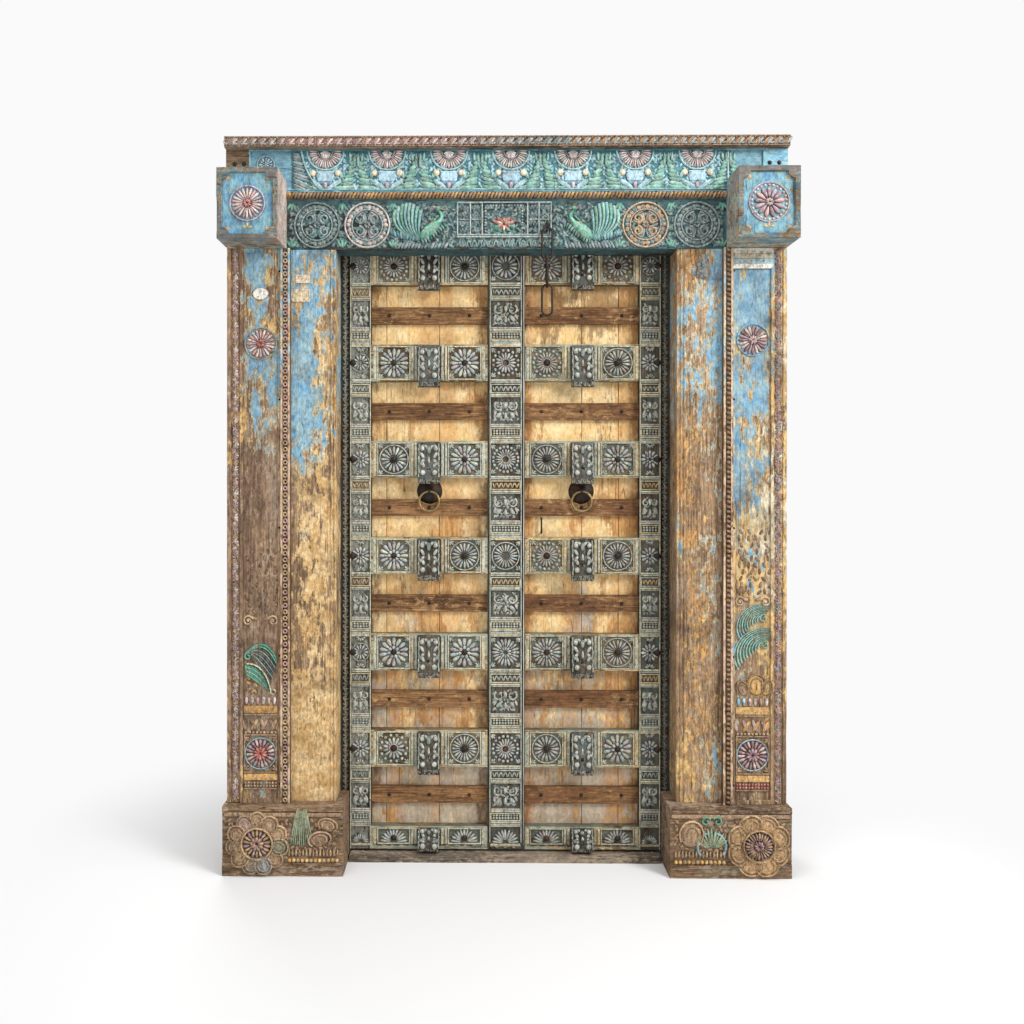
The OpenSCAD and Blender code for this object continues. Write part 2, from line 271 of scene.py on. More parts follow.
def agedTimber(name, look):
    # old wood under any number of flaking coats, with cracks along the grain, and grime and painted shade in
    # the hollows
    paint = Finish(name)
    place = paint.place()
    grain = look.get("grain", "z")
    x, y, z = (paint.node("ShaderNodeSeparateXYZ", {}, {0: place}, out=axis) for axis in range(3))

    fine = paint.noise(paint.moved(place, stretched(grain, 0.05)), 210, 4, 0.7)
    broad = paint.noise(paint.moved(place, stretched(grain, 0.16), (3.1, 1.7, 0.4)), 19, 4, 0.55, 0.6)
    speck = paint.noise(place, 330, 3, 0.7)
    colour = paint.mix(look["dark"], look["light"], paint.fade(fine * 0.55 + broad * 0.45, 0.38, 0.62))
    veins = paint.noise(paint.moved(place, stretched(grain, 0.03), (7.7, 2.3, 5.1)), 48, 2, 0.5, 0.3)
    cracks = (1 - paint.fade(abs(veins - 0.5), 0.0, look.get("crack", 0.008))) * paint.fade(broad, 0.42, 0.6)
    height = fine * 0.45 + speck * 0.25 - cracks * 1.4
    covered = None

    for number, coat in enumerate(look.get("coats", [])):
        shift = 11.3 * (number + 1) + coat.get("seed", 0)
        streaks = stretched(grain, coat.get("streak", 0.45))
        flakes = paint.noise(paint.moved(place, streaks, (shift, 2.0, shift * 0.6)),
                             coat.get("scale", 42), 8, 0.72)
        patches = paint.noise(paint.moved(place, stretched(grain, 0.4), (2.0, shift, 1.0)),
                              coat.get("patch", 6.0), 4, 0.6, 0.4)
        cover = coat["cover"]
        if isinstance(cover, tuple):  # cover changes with height: low z, cover there, high z, cover there
            lowZ, lowCover, highZ, highCover = cover
            cover = paint.fade(z, lowZ, highZ) * (highCover - lowCover) + lowCover
        if "across" in coat:  # and gains or loses some between two distances from the middle of the door
            nearX, farX, gain = coat["across"]
            cover = paint.fade(abs(x), nearX, farX) * gain + cover
        level = (flakes - 0.5) * 3.0 + (patches - 0.5) * 2.4 + (fine - 0.5) * 0.7 + (cover - 0.5) * 2
        if "back" in look:  # paint stops at the hidden back of the piece
            level = level - paint.fade(y, look["back"] - 0.004, look["back"] - 0.0005) * 4
        if "only" in coat:  # a coat that stays between two places across the door
            low, high = coat["only"]
            inside = paint.fade(x, low - 0.01, low + 0.01) * (1 - paint.fade(x, high - 0.01, high + 0.01))
            level = level + inside * 4 - 4
        mask = paint.fade(level, 0.0, coat.get("soft", 0.06))
        if "edge" in coat:  # the undercoat that shows round a flake
            colour = paint.mix(colour, coat["edge"], paint.fade(level, -0.16, -0.06) * 0.75)
        clouds = paint.noise(paint.moved(place, shift=(shift, 0, 3)), 21, 6, 0.7)
        shade = paint.mix(coat["colour"], coat.get("second", coat["colour"]), paint.fade(clouds, 0.36, 0.64))
        colour = paint.mix(colour, shade, mask * coat.get("strength", 0.94))
        height = height + mask * coat.get("thick", 0.6)
        covered = mask if covered is None else covered.calc("MAXIMUM", mask)

    if "boards" in look:  # each board has a colour of its own
        board = paint.noise(paint.moved(place, (1, 1, 0.04), (6.0, 0, 0)), 9.5, 1, 0.5)
        colour = paint.mix(colour, look["boards"], paint.fade(board, 0.50, 0.62) * 0.38)

    if look.get("tinted"):  # carved pieces carry their own paint colour and their height above the ground
        tint = paint.node("ShaderNodeAttribute", {"attribute_name": "tint"}, out="Color")
        rise = paint.node("ShaderNodeAttribute", {"attribute_name": "rise"}, out="Fac")
        chips = paint.noise(paint.moved(place, shift=(4.0, 9.0, 2.0)), 95, 6, 0.68)
        bare = paint.fade(chips + (rise - 0.5) * 0.10 + look.get("worn", 0), 0.57, 0.61)
        colour = paint.mix(tint, colour, bare * look.get("bare", 0.8))
        # chalky pale paint, made thicker on the high points of a carving as a painted highlight
        powder = paint.noise(paint.moved(place, shift=(1.0, 5.0, 8.0)), 140, 4, 0.6)
        chalkAndHighlight = paint.fade(powder + rise * 0.16, 0.58, 0.68)
        colour = paint.mix(colour, look["chalkAndHighlight"], chalkAndHighlight * look.get("chalkAndHighlightAmount", 0.45))
        # painted shade with grime: a carving darkens towards the ground it stands on
        hollow = 1 - paint.fade(rise, 0.0, look.get("groove", 0.62))
        colour = paint.mix(colour, look["grimeAndShade"], hollow * look.get("hollow", 0.9))
        height = height + chips * 0.8
        covered = 1 - bare

    if "depth" in look:  # painted shade with grime in sunk parts of a CAD face, between two distances from the street
        front, back = look["depth"]
        hollow = paint.fade(y, front, back)
        colour = paint.mix(colour, look["grimeAndShade"], hollow * look.get("hollow", 0.85))

    dirt = paint.fade(paint.noise(paint.moved(place, shift=(5.0, 1.0, 9.0)), 8, 6, 0.7), 0.47, 0.70)
    colour = paint.mix(colour, look["grimeAndShade"], dirt * look.get("dirty", 0.35))
    colour = paint.mix(colour, look["grimeAndShade"], cracks * 0.8)
    mottle = paint.noise(paint.moved(place, stretched(grain, 0.5), (8.0, 3.0, 6.0)), 105, 4, 0.75)
    value = (speck - 0.5) * 0.7 + (mottle - 0.5) * look.get("mottle", 2.1) + look.get("bright", 1.0)
    spots = paint.node("ShaderNodeHueSaturation", {},
                       {"Color": colour, "Value": value.calc("MAXIMUM", 0.25)})
    rough = 0.9 - covered * 0.22 if covered is not None else 0.86
    bump = paint.node("ShaderNodeBump", {}, {
        "Height": height, "Strength": look.get("bump", 0.6), "Distance": 0.0018})
    paint.feed(Base_Color=spots, Roughness=rough, Normal=bump)
    paint.shader.inputs["Specular IOR Level"].default_value = 0.25
    return paint.material


def oldMetal(name, look):
    # forged metal with rust or tarnish in broad patches
    paint = Finish(name)
    place = paint.place()
    patches = paint.noise(place, 38, 6, 0.7)
    pits = paint.noise(place, 420, 4, 0.65)
    colour = paint.mix(look["metal"], look["rust"], paint.fade(patches, look["clean"], look["clean"] + 0.14))
    colour = paint.mix(colour, look["dark"], paint.fade(pits, 0.5, 0.68) * 0.6)
    bump = paint.node("ShaderNodeBump", {}, {"Height": pits + patches, "Strength": 0.5, "Distance": 0.001})
    paint.feed(Base_Color=colour, Metallic=look["metallic"], Normal=bump,
               Roughness=look["rough"] + paint.fade(patches, 0.4, 0.65) * 0.25)
    return paint.material


# coats that several finishes share
cream = tone("d6c7a0")
sky = {"colour": tone("689dbd"), "second": tone("92b1b9"), "edge": cream, "thick": 0.9}
ochre = {"colour": tone("dfbd80"), "second": tone("c49c62"), "soft": 0.16, "strength": 0.85}
dust = {"colour": tone("b8a58c"), "second": tone("9c8a78"), "scale": 90, "soft": 0.25, "strength": 0.55,
        "thick": 0.1}

carvedPaint = {
    "dark": tone("4d3e30"), "light": tone("a08a6c"), "grimeAndShade": tone("1b1814"), "chalkAndHighlight": tone("d8d2bf"),
    "tinted": True, "dirty": 0.25, "bump": 0.6, "bare": 0.7, "chalkAndHighlightAmount": 0.28,
}

# a coat's cover is its share of the timber, or two heights with the share at each; "across" adds some
# between two distances from the middle, and "only" keeps the coat between two places across the door
finishes = {
    "jamb": agedTimber("jambPaint", {
        "dark": tone("66503d"), "light": tone("a98b6b"), "grimeAndShade": tone("43342a"), "dirty": 0.5, "bump": 0.8,
        "mottle": 2.6, "back": 0.172,
        "coats": [
            {**dust, "cover": 0.46},
            {**ochre, "colour": tone("e6c896"), "cover": (0.3, 0.74, 1.3, 0.48), "only": (-2.0, 0.0)},
            {**ochre, "cover": (0.3, 0.44, 1.3, 0.32), "only": (0.0, 2.0), "seed": 5.0},
            {**ochre, "cover": 0.36, "seed": 7.0, "scale": 120, "colour": tone("c58f52")},
            {**sky, "cover": (1.1, 0.08, 1.62, 0.52), "across": (0.57, 0.68, 0.12), "only": (-2.0, 0.0),
             "seed": 3.0},
            {**sky, "cover": (1.05, 0.22, 1.62, 0.42), "across": (0.57, 0.68, 0.14), "only": (0.0, 2.0),
             "seed": 3.0},
        ]}),
    "pilasterLeft": agedTimber("pilasterLeftPaint", {
        "dark": tone("665040"), "light": tone("a4876b"), "grimeAndShade": tone("3d3027"), "dirty": 0.5, "bump": 0.8,
        "mottle": 2.5,
        "depth": (-0.0455, -0.0435), "hollow": 0.12,
        "coats": [
            {**dust, "cover": 0.46},
            {**ochre, "cover": (0.5, 0.3, 1.6, 0.42)},
            {**sky, "cover": (1.25, 0.2, 1.62, 0.66), "across": (0.80, 0.86, -0.45)},
        ]}),
    "pilasterRight": agedTimber("pilasterRightPaint", {
        "dark": tone("66503d"), "light": tone("a98b6b"), "grimeAndShade": tone("43342a"), "dirty": 0.45, "bump": 0.8,
        "depth": (-0.0455, -0.0435), "hollow": 0.1,
        "coats": [
            {**dust, "cover": 0.46},
            {**ochre, "cover": (0.3, 0.44, 1.5, 0.6)},
            {**ochre, "colour": tone("e4d8bd"), "second": tone("cdbf9f"), "cover": (0.5, 0.14, 1.2, 0.52),
             "seed": 6.0},
            {**sky, "cover": (0.75, 0.26, 1.5, 0.64), "across": (0.80, 0.86, -0.4), "seed": 4.0},
        ]}),
    "bead": agedTimber("beadStripPaint", {
        "dark": tone("6b4f3b"), "light": tone("a98a6a"), "grimeAndShade": tone("2a1e15"), "dirty": 0.4,
        "depth": (-0.0515, -0.048), "hollow": 0.78,
        "coats": [
            {"colour": tone("cdb08c"), "second": tone("c7a592"), "cover": 0.55, "scale": 60},
            {**sky, "cover": (1.1, 0.2, 1.7, 0.42), "scale": 70}]}),
    "lintel": agedTimber("lintelPaint", {
        "grain": "x", "dark": tone("2b2c2a"), "light": tone("4c4a42"), "grimeAndShade": tone("15181a"), "dirty": 0.4,
        "back": 0.172,
        "coats": [{"colour": tone("3b5a62"), "second": tone("4c6866"), "cover": 0.6, "scale": 50}]}),
    "corner": agedTimber("cornerBlockPaint", {
        "grain": "x", "dark": tone("5a4634"), "light": tone("9c7e5e"), "grimeAndShade": tone("2b2620"),
        "dirty": 0.45, "depth": (-0.1655, -0.1705), "hollow": 0.5,
        "coats": [
            {"colour": tone("7b858a"), "second": tone("94897c"), "cover": 0.62, "scale": 40},
            {**sky, "colour": tone("5a8ca6"), "second": tone("6d98a0"), "cover": 0.42, "scale": 34,
             "streak": 0.8},
            {"colour": tone("c99a4e"), "second": tone("a8763a"), "cover": 0.3, "seed": 9.0, "scale": 26},
            # painted light: a pale coat on the inner side of the left corner block, lit from the right
            {"colour": tone("c9b9b0"), "second": tone("b09a90"), "cover": 0.62, "only": (-0.707, -0.5)}]}),
    "field": agedTimber("cornerFieldPaint", {
        "dark": tone("6b6356"), "light": tone("9c8c74"), "grimeAndShade": tone("2f3334"), "dirty": 0.5,
        "bright": 0.84,
        "coats": [{**sky, "colour": tone("5f98ba"), "second": tone("7fadb4"), "cover": 0.72, "scale": 60,
                   "streak": 0.8}]}),
    "head": agedTimber("headBoardPaint", {
        "grain": "x", "dark": tone("4d3f31"), "light": tone("8b735a"), "grimeAndShade": tone("25221d"), "dirty": 0.3,
        "depth": (-0.0265, -0.0225), "hollow": 0.25, "back": 0.027,
        "coats": [
            {**sky, "colour": tone("74abc8"), "second": tone("86b9c8"), "cover": 0.72, "only": (-0.82, 2.0)},
            {"colour": tone("437f8c"), "second": tone("5593a0"), "cover": 0.76, "only": (-0.69, 0.702)}]}),
    "cornice": agedTimber("cornicePaint", {
        "grain": "x", "dark": tone("4a3a30"), "light": tone("8a7663"), "grimeAndShade": tone("2a221c"),
        "dirty": 0.45,
        "coats": [
            {**dust, "cover": 0.5},
            {"colour": tone("a8776c"), "second": tone("b98d80"), "cover": 0.36, "only": (-2.0, -0.1)}]}),
    "rope": agedTimber("ropePaint", {
        "grain": "x", "dark": tone("7a5a38"), "light": tone("b08a58"), "grimeAndShade": tone("2e2116"),
        "dirty": 0.3}),
    "plinth": agedTimber("plinthPaint", {
        "grain": "x", "dark": tone("54402f"), "light": tone("947759"), "grimeAndShade": tone("2d221a"),
        "dirty": 0.55, "bump": 0.9,
        "coats": [
            {**dust, "cover": 0.5},
            {"colour": tone("a3847a"), "second": tone("7f8a72"), "cover": 0.34, "strength": 0.6}]}),
    "threshold": agedTimber("thresholdTimber", {
        "grain": "x", "dark": tone("453d35"), "light": tone("75695b"), "grimeAndShade": tone("28231e"),
        "coats": [{**dust, "cover": 0.55}]}),
    "stile": agedTimber("stilePaint", {
        "dark": tone("2e2822"), "light": tone("6b5c4b"), "grimeAndShade": tone("191613"), "dirty": 0.4,
        "depth": (0.0725, 0.0855), "hollow": 0.4, "back": 0.138,
        "coats": [
            {"colour": tone("4b544f"), "second": tone("5d574c"), "cover": 0.58, "scale": 50},
            # painted light: a pale coat on the left hanging stile only, which the light from the right
            # reaches
            {"colour": tone("8f9389"), "second": tone("7d7a70"), "cover": 0.62, "scale": 70,
             "only": (-0.515, -0.44), "strength": 0.85}]}),
    "plank": agedTimber("plankTimber", {
        "dark": tone("a9794a"), "light": tone("ddb57c"), "grimeAndShade": tone("4c321c"), "dirty": 0.36,
        "bright": 1.06, "mottle": 1.3,
        "boards": tone("c68747"), "bump": 0.45, "back": 0.132,
        "coats": [
            {"colour": tone("f2d9a6"), "second": tone("e6c184"), "cover": (0.3, 0.58, 1.4, 0.76),
             "scale": 16, "streak": 0.5, "soft": 0.3, "strength": 0.85, "thick": 0.1},
            {"colour": tone("8e6238"), "second": tone("a5794a"), "cover": (0.1, 0.68, 1.2, 0.32),
             "scale": 40, "soft": 0.25, "strength": 0.6, "thick": -0.2},
            {"colour": tone("b9b0a2"), "second": tone("a39a8a"), "cover": (0.2, 0.66, 1.2, 0.2), "scale": 60,
             "soft": 0.2, "strength": 0.75, "thick": 0.3},
            # painted shade: dark brown on the right leaf's upper planks, deeper towards the top
            {"colour": tone("7d5630"), "second": tone("8d6840"), "cover": (1.4, 0.1, 1.9, 0.8),
             "only": (0.02, 0.6), "scale": 30, "soft": 0.4, "strength": 0.75, "thick": 0.1},
            {"colour": tone("6e4222"), "second": tone("8a5a2e"), "cover": 0.2, "across": (0.385, 0.43, 0.42),
             "scale": 36, "soft": 0.5, "strength": 0.75, "thick": 0.1},
            {"colour": tone("5c3a20"), "second": tone("7c5028"), "cover": 0.16,
             "across": (0.13, 0.075, 0.42), "scale": 36, "soft": 0.5, "strength": 0.75, "thick": 0.1}]}),
    "rail": agedTimber("railPaint", {
        "grain": "x", "dark": tone("5c4c38"), "light": tone("a08a68"), "grimeAndShade": tone("181614"), "dirty": 0.3,
        "depth": (0.0722, 0.0755), "hollow": 0.6,
        "coats": [
            {"colour": tone("c4ac80"), "second": tone("b39a70"), "cover": 0.5},
            {"colour": tone("a9a890"), "second": tone("8d9a8c"), "cover": 0.52, "seed": 2.0}]}),
    "batten": agedTimber("battenTimber", {
        "grain": "x", "dark": tone("533823"), "light": tone("97704a"), "grimeAndShade": tone("2a1c12"),
        "dirty": 0.42, "bump": 1.0,
        "coats": [
            {"colour": tone("c09a6c"), "second": tone("a07850"), "cover": 0.4, "scale": 90, "soft": 0.2,
             "strength": 0.7, "thick": 0.2},
            {"colour": tone("5a3a24"), "second": tone("7a4a2c"), "cover": 0.56, "only": (0.0, 0.6),
             "soft": 0.4, "strength": 0.6}]}),
    "bracket": agedTimber("bracketPaint", {
        "dark": tone("2f2a24"), "light": tone("6a6052"), "grimeAndShade": tone("171412"), "dirty": 0.5,
        "coats": [{"colour": tone("5f6662"), "second": tone("54504a"), "cover": 0.48}]}),
    "carving": agedTimber("carvedPaint", carvedPaint),
    "carvedFrame": agedTimber("carvedFramePaint", {
        **carvedPaint, "groove": 0.78, "worn": -0.03, "bare": 0.6}),
    "carvedWood": agedTimber("carvedTimber", {
        "dark": tone("503c2c"), "light": tone("9a7a58"), "grimeAndShade": tone("1e150e"), "chalkAndHighlight": tone("cbb594"),
        "tinted": True, "dirty": 0.35, "bump": 0.8, "chalkAndHighlightAmount": 0.25, "bare": 0.7, "worn": 0.02}),
    "iron": oldMetal("forgedIron", {
        "metal": tone("2b2623"), "rust": tone("5a3a26"), "dark": tone("141110"), "clean": 0.5,
        "metallic": 0.55, "rough": 0.5}),
    "ring": oldMetal("wornBrass", {
        "metal": tone("a08a5c"), "rust": tone("5d4a30"), "dark": tone("2a2118"), "clean": 0.52,
        "metallic": 0.85, "rough": 0.36}),
}

# part of a node's name: finish, record slot, how wide its worn edges are and how far apart its chips
nodeLooks = {
    "jamb": ("jamb", "jamb_wood", 3.5, 26),
    "bead_strip": ("bead", "bead_wood", 1.2, 30),
    "plinth": ("plinth", "plinth_wood", 6.0, 24),
    "corner_block": ("corner", "corner_paint", 4.5, 22),
    "lintel_beam": ("lintel", "lintel_paint", 3.0, 30),
    "head_board": ("head", "head_paint", 1.8, 30),
    "cornice_strip": ("cornice", "cornice_paint", 2.0, 20),
    "threshold": ("threshold", "threshold_wood", 3.0, 26),
    "hanging_stile": ("stile", "stile_wood", 1.6, 30),
    "centre_stile": ("stile", "stile_wood", 1.4, 30),
    "plank": ("plank", "plank_wood", 1.5, 30),
    "rail": ("rail", "rail_paint", 1.6, 14),
    "battens": ("batten", "batten_wood", 5.0, 11),
    "brackets": ("bracket", "bracket_paint", 2.0, 16),
    "left_pilaster": ("pilasterLeft", "pilaster_paint", 1.8, 28),
    "right_pilaster": ("pilasterRight", "pilaster_paint", 1.8, 28),
    "rope_moulding": ("rope", "rope_paint", 0, 0),
    "pull_ring": ("ring", "ring_metal", 0, 0),
}


def lookFor(name):
    for part, look in nodeLooks.items():
        if part in name:
            return look
    return "iron", "iron", 0, 0


wear = {
    "sharp": 0.6,  # edges that turn more than this angle are worn
    "shortest": 0.5,
    "rubbed": 0.55,  # shares of a piece's wear: rubbed off all along, in small chips and in deep ones
    "chipped": 0.45,
    "gouged": 1.5,
}


def wearEdges(name, finish, edge, gap):
    # the same piece of timber, with its sharp edges rubbed round and chipped
    form = bmesh.new()
    form.from_mesh(nodes[name].data)
    bmesh.ops.scale(form, vec=(metre,) * 3, verts=form.verts)
    bmesh.ops.remove_doubles(form, verts=form.verts, dist=0.02)
    bmesh.ops.dissolve_limit(form, angle_limit=0.02, verts=form.verts, edges=form.edges)
    low, high = span(name)
    longest = max(range(3), key=lambda axis: (high - low)[axis])
    normal = Vector([1.0 if axis == longest else 0.0 for axis in range(3)])
    chance = random.Random(name)
    place = low[longest] + gap * 0.6
    while place < high[longest] - 2:
        geometry = form.verts[:] + form.edges[:] + form.faces[:]
        bmesh.ops.bisect_plane(form, geom=geometry, dist=0.01, plane_co=normal * place, plane_no=normal)
        place += gap * chance.uniform(0.6, 1.4)
    sharp = [e for e in form.edges if e.is_manifold and e.is_convex and e.calc_face_angle(0) > wear["sharp"]
             and e.calc_length() > wear["shortest"]]
    worn = bmesh.ops.bevel(form, geom=sharp, offset=edge * wear["rubbed"], segments=2, profile=0.5,
                           affect="EDGES", material=-1, clamp_overlap=True)
    form.normal_update()
    inward = {vert: -vert.normal for vert in worn["verts"] if vert.is_valid}
    for vert, way in inward.items():
        fine = noise.noise(vert.co / (gap * 0.7)) + 0.5 * noise.noise(vert.co / (gap * 0.25))
        deep = max(0.0, noise.noise(vert.co / (gap * 3.1) + Vector((7, 3, 5))) - 0.25)
        vert.co += way * edge * (max(0.0, fine) * wear["chipped"] + deep * wear["gouged"])
    bmesh.ops.scale(form, vec=(1 / metre,) * 3, verts=form.verts)
    mesh = bpy.data.meshes.new(name)
    form.to_mesh(mesh)
    form.free()
    piece = bpy.data.objects.new(f"{name}_worn", mesh)
    bpy.context.scene.collection.objects.link(piece)
    mesh.materials.append(finishes[finish])
    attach(piece, nodes[name]["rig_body"])
    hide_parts(name)


for name, piece in nodes.items():
    finish, slot, edge, gap = lookFor(name)
    piece.data.materials.clear()
    piece.data.materials.append(finishes[finish])
    if edge:
        wearEdges(name, finish, edge, gap)
print("timber is worn and finished")


class Shape:
    # a small closed form of unit size that stands on the ground and rises towards the street
    def __init__(self, name, form, smooth=True):
        self.mesh = bpy.data.meshes.new(name)
        form.to_mesh(self.mesh)
        form.free()
        count = len(self.mesh.vertices)
        points = np.zeros(count * 3)
        self.mesh.vertices.foreach_get("co", points)
        self.points = points.reshape(-1, 3)
        self.mesh.polygons.foreach_set("use_smooth", [smooth] * len(self.mesh.polygons))
        self.mesh.attributes.new("tint", "FLOAT_COLOR", "POINT")
        rise = self.mesh.attributes.new("rise", "FLOAT", "POINT")
        rise.data.foreach_set("value", np.clip(-self.points[:, 1], 0, 1))


rootDepth = 0.12  # how far a stamped form reaches into the ground, in shares of its height


def halfRound(columns, rows, taper=0.0, crease=0.0):
    # half of a ball, from z 0 to 1, one wide and one high, narrowed towards its root by taper
    form = bmesh.new()
    bmesh.ops.create_uvsphere(form, u_segments=columns, v_segments=rows, radius=0.5)
    bmesh.ops.translate(form, vec=(0, 0, 0.5), verts=form.verts)
    bmesh.ops.scale(form, vec=(1, 2, 1), verts=form.verts)
    geometry = form.verts[:] + form.edges[:] + form.faces[:]
    bmesh.ops.bisect_plane(form, geom=geometry, plane_co=(0, rootDepth, 0), plane_no=(0, 1, 0),
                           clear_outer=True)
    bmesh.ops.holes_fill(form, edges=[e for e in form.edges if e.is_boundary])
    for vert in form.verts:
        vert.co.x *= 1 - taper * (1 - vert.co.z) ** 1.3
        if crease and vert.co.y < 0:
            vert.co.y *= 1 - crease * max(0.0, 1 - abs(vert.co.x) * 5)
    bmesh.ops.recalc_face_normals(form, faces=form.faces)
    return form


def slatForm(bevel):
    # a slat of unit size whose front edges and corners are eased by bevel
    form = bmesh.new()
    bmesh.ops.create_cube(form, size=1)
    edges = [e for e in form.edges if all(v.co.y < 0 for v in e.verts)
             or abs(e.verts[0].co.y - e.verts[1].co.y) > 0.5]
    bmesh.ops.bevel(form, geom=edges, offset=bevel, segments=1, profile=0.5, affect="EDGES", material=-1)
    bmesh.ops.translate(form, vec=(0, -0.5, 0), verts=form.verts)
    return form


slatBevel = 0.1
shapes = {
    "petal": Shape("petal", halfRound(8, 6, taper=0.62)),
    "leaf": Shape("leaf", halfRound(8, 6, crease=0.45)),
    "sliver": Shape("sliver", halfRound(6, 4, crease=0.3)),
    "bead": Shape("bead", halfRound(8, 6)),
    "reed": Shape("reed", halfRound(6, 4)),
    "slat": Shape("slat", slatForm(slatBevel), smooth=False),
}


def ringShape(inner, outer, count, steps):
    # a raised ring with a round top, as wide as inner to outer and one high
    form = bmesh.new()
    middle, half = (inner + outer) / 2, (outer - inner) / 2
    verts = [form.verts.new((middle - half * math.cos(a), -math.sin(a), 0))
             for a in [math.pi * i / (steps - 1) for i in range(steps)]]
    verts = [form.verts.new((inner, 0.1, 0))] + verts + [form.verts.new((outer, 0.1, 0))]
    edges = [form.edges.new((verts[i], verts[(i + 1) % len(verts)])) for i in range(len(verts))]
    bmesh.ops.spin(form, geom=verts + edges, cent=(0, 0, 0), axis=(0, 1, 0), angle=2 * math.pi,
                   steps=count, use_merge=True)
    bmesh.ops.remove_doubles(form, verts=form.verts, dist=1e-5)
    bmesh.ops.recalc_face_normals(form, faces=form.faces)
    return Shape("ring", form)


class Carving:
    # carved work on a face that looks at the street, in millimetres: x right, z up, rising towards -y
    def __init__(self, name, body, ground, slot, finish="carving"):
        self.name, self.body, self.ground, self.slot = name, body, ground, slot
        self.finish = finish
        self.form = bmesh.new()
        self.form.verts.layers.float_color.new("tint")
        self.form.verts.layers.float.new("rise")
        self.rings = {}
        self.wash = None  # a colour and the share of it that is mixed into every piece of the carving
        self.chance = random.Random(name)

    def lay(self, shape, points, colour, mirrored=False):
        colour = blendTones(colour, *self.wash) if self.wash else colour
        shade = 1 + self.chance.uniform(-0.13, 0.13)
        tint = [min(1.0, c * shade) for c in colour[:3]] + [1.0]
        mesh = shape.mesh
        mesh.vertices.foreach_set("co", np.ascontiguousarray(points).ravel())
        mesh.attributes["tint"].data.foreach_set("color", np.tile(tint, len(points)))
        if mirrored:
            mesh.flip_normals()
        self.form.from_mesh(mesh)
        if mirrored:
            mesh.flip_normals()

    def stamp(self, shape, x, z, turn, size, colour, lift=0.0):
        # size is width, height above the ground and length; turn is clockwise from upright
        shape = shapes[shape] if isinstance(shape, str) else shape
        wobble = self.chance.uniform(-0.03, 0.03)
        matrix = (Matrix.Translation((x, self.ground - lift, z)) @ Matrix.Rotation(turn + wobble, 4, "Y")
                  @ Matrix.Diagonal((*size, 1)))
        grid = np.array(matrix)
        self.lay(shape, shape.points @ grid[:3, :3].T + grid[:3, 3], colour, matrix.determinant() < 0)

    def bead(self, x, z, radius, rise, colour, lift=0.0):
        self.stamp("bead", x, z - radius, 0, (2 * radius, rise, 2 * radius), colour, lift)

    def bar(self, low, high, rise, colour, bevel=1.2, lift=0.0):
        # a flat strip between two corners, with its front edges eased by bevel
        centre = ((low[0] + high[0]) / 2, (low[1] + high[1]) / 2)
        size = (high[0] - low[0], high[1] - low[1])
        points = shapes["slat"].points.copy()
        for axis, side in ((0, 0), (2, 1)):
            eased = (0.5 - np.abs(points[:, axis])) / slatBevel * bevel
            points[:, axis] = np.sign(points[:, axis]) * (size[side] / 2 - eased) + centre[side]
        points[:, 1] = self.ground - lift + np.where(points[:, 1] > -0.01, 1.0, points[:, 1] * rise)
        self.lay(shapes["slat"], points, colour)

    def frame(self, low, high, width, rise, colour, lift=0.0):
        self.bar(low, (high[0], low[1] + width), rise, colour, lift=lift)
        self.bar((low[0], high[1] - width), high, rise, colour, lift=lift)
        self.bar((low[0], low[1] + width), (low[0] + width, high[1] - width), rise, colour, lift=lift)
        self.bar((high[0] - width, low[1] + width), (high[0], high[1] - width), rise, colour, lift=lift)

    def ring(self, x, z, inner, outer, rise, colour, lift=0.0):
        key = (inner, outer)
        if key not in self.rings:
            count, steps = (14, 4) if outer < 12 else (32, 5)
            self.rings[key] = ringShape(inner, outer, count, steps)
        self.stamp(self.rings[key], x, z, 0, (1, rise, 1), colour, lift)

    def sunburst(self, x, z, near, far, count, rise, colours, start=0.0, sweep=2 * math.pi, wide=0.86,
                 twist=0.0,
                 shape="petal", lift=0.0):
        # petals from near to far, all round or over part of the circle
        gaps = count if sweep > 6.2 else count - 1  # a closed circle has as many gaps as petals
        for i in range(count):
            angle = start + sweep * (i / gaps)
            px, pz = x + near * math.sin(angle), z + near * math.cos(angle)
            width = wide * 2 * far * math.sin(abs(sweep) / gaps / 2)
            self.stamp(shape, px, pz, angle + twist, (width, rise, far - near), colours[i % len(colours)],
                       lift)

    def strand(self, points, radius, colour, taper=0.3, rise=1.0):
        # a rounded cord in relief through points, thinning towards its far end
        curve = bpy.data.curves.new("strand", "CURVE")
        curve.dimensions, curve.bevel_depth, curve.bevel_resolution = "3D", radius, 1
        curve.use_fill_caps = True
        line = curve.splines.new("POLY")
        line.points.add(len(points) - 1)
        for i, (px, pz) in enumerate(points):
            line.points[i].co = (px, 0, pz, 1)
            line.points[i].radius = 1 - (1 - taper) * i / (len(points) - 1)
        holder = bpy.data.objects.new("strand", curve)
        mesh = bpy.data.meshes.new_from_object(holder)
        form = bmesh.new()
        form.from_mesh(mesh)
        bmesh.ops.scale(form, vec=(1, rise / radius, 1), verts=form.verts)
        bmesh.ops.recalc_face_normals(form, faces=form.faces)
        for vert in form.verts:
            vert.co.y /= rise
        shape = Shape("strand", form)
        placed = shape.points * (1, rise, 1) + (0, self.ground, 0)
        self.lay(shape, placed, colour)
        bpy.data.objects.remove(holder)
        bpy.data.curves.remove(curve)
        bpy.data.meshes.remove(mesh)
        bpy.data.meshes.remove(shape.mesh)

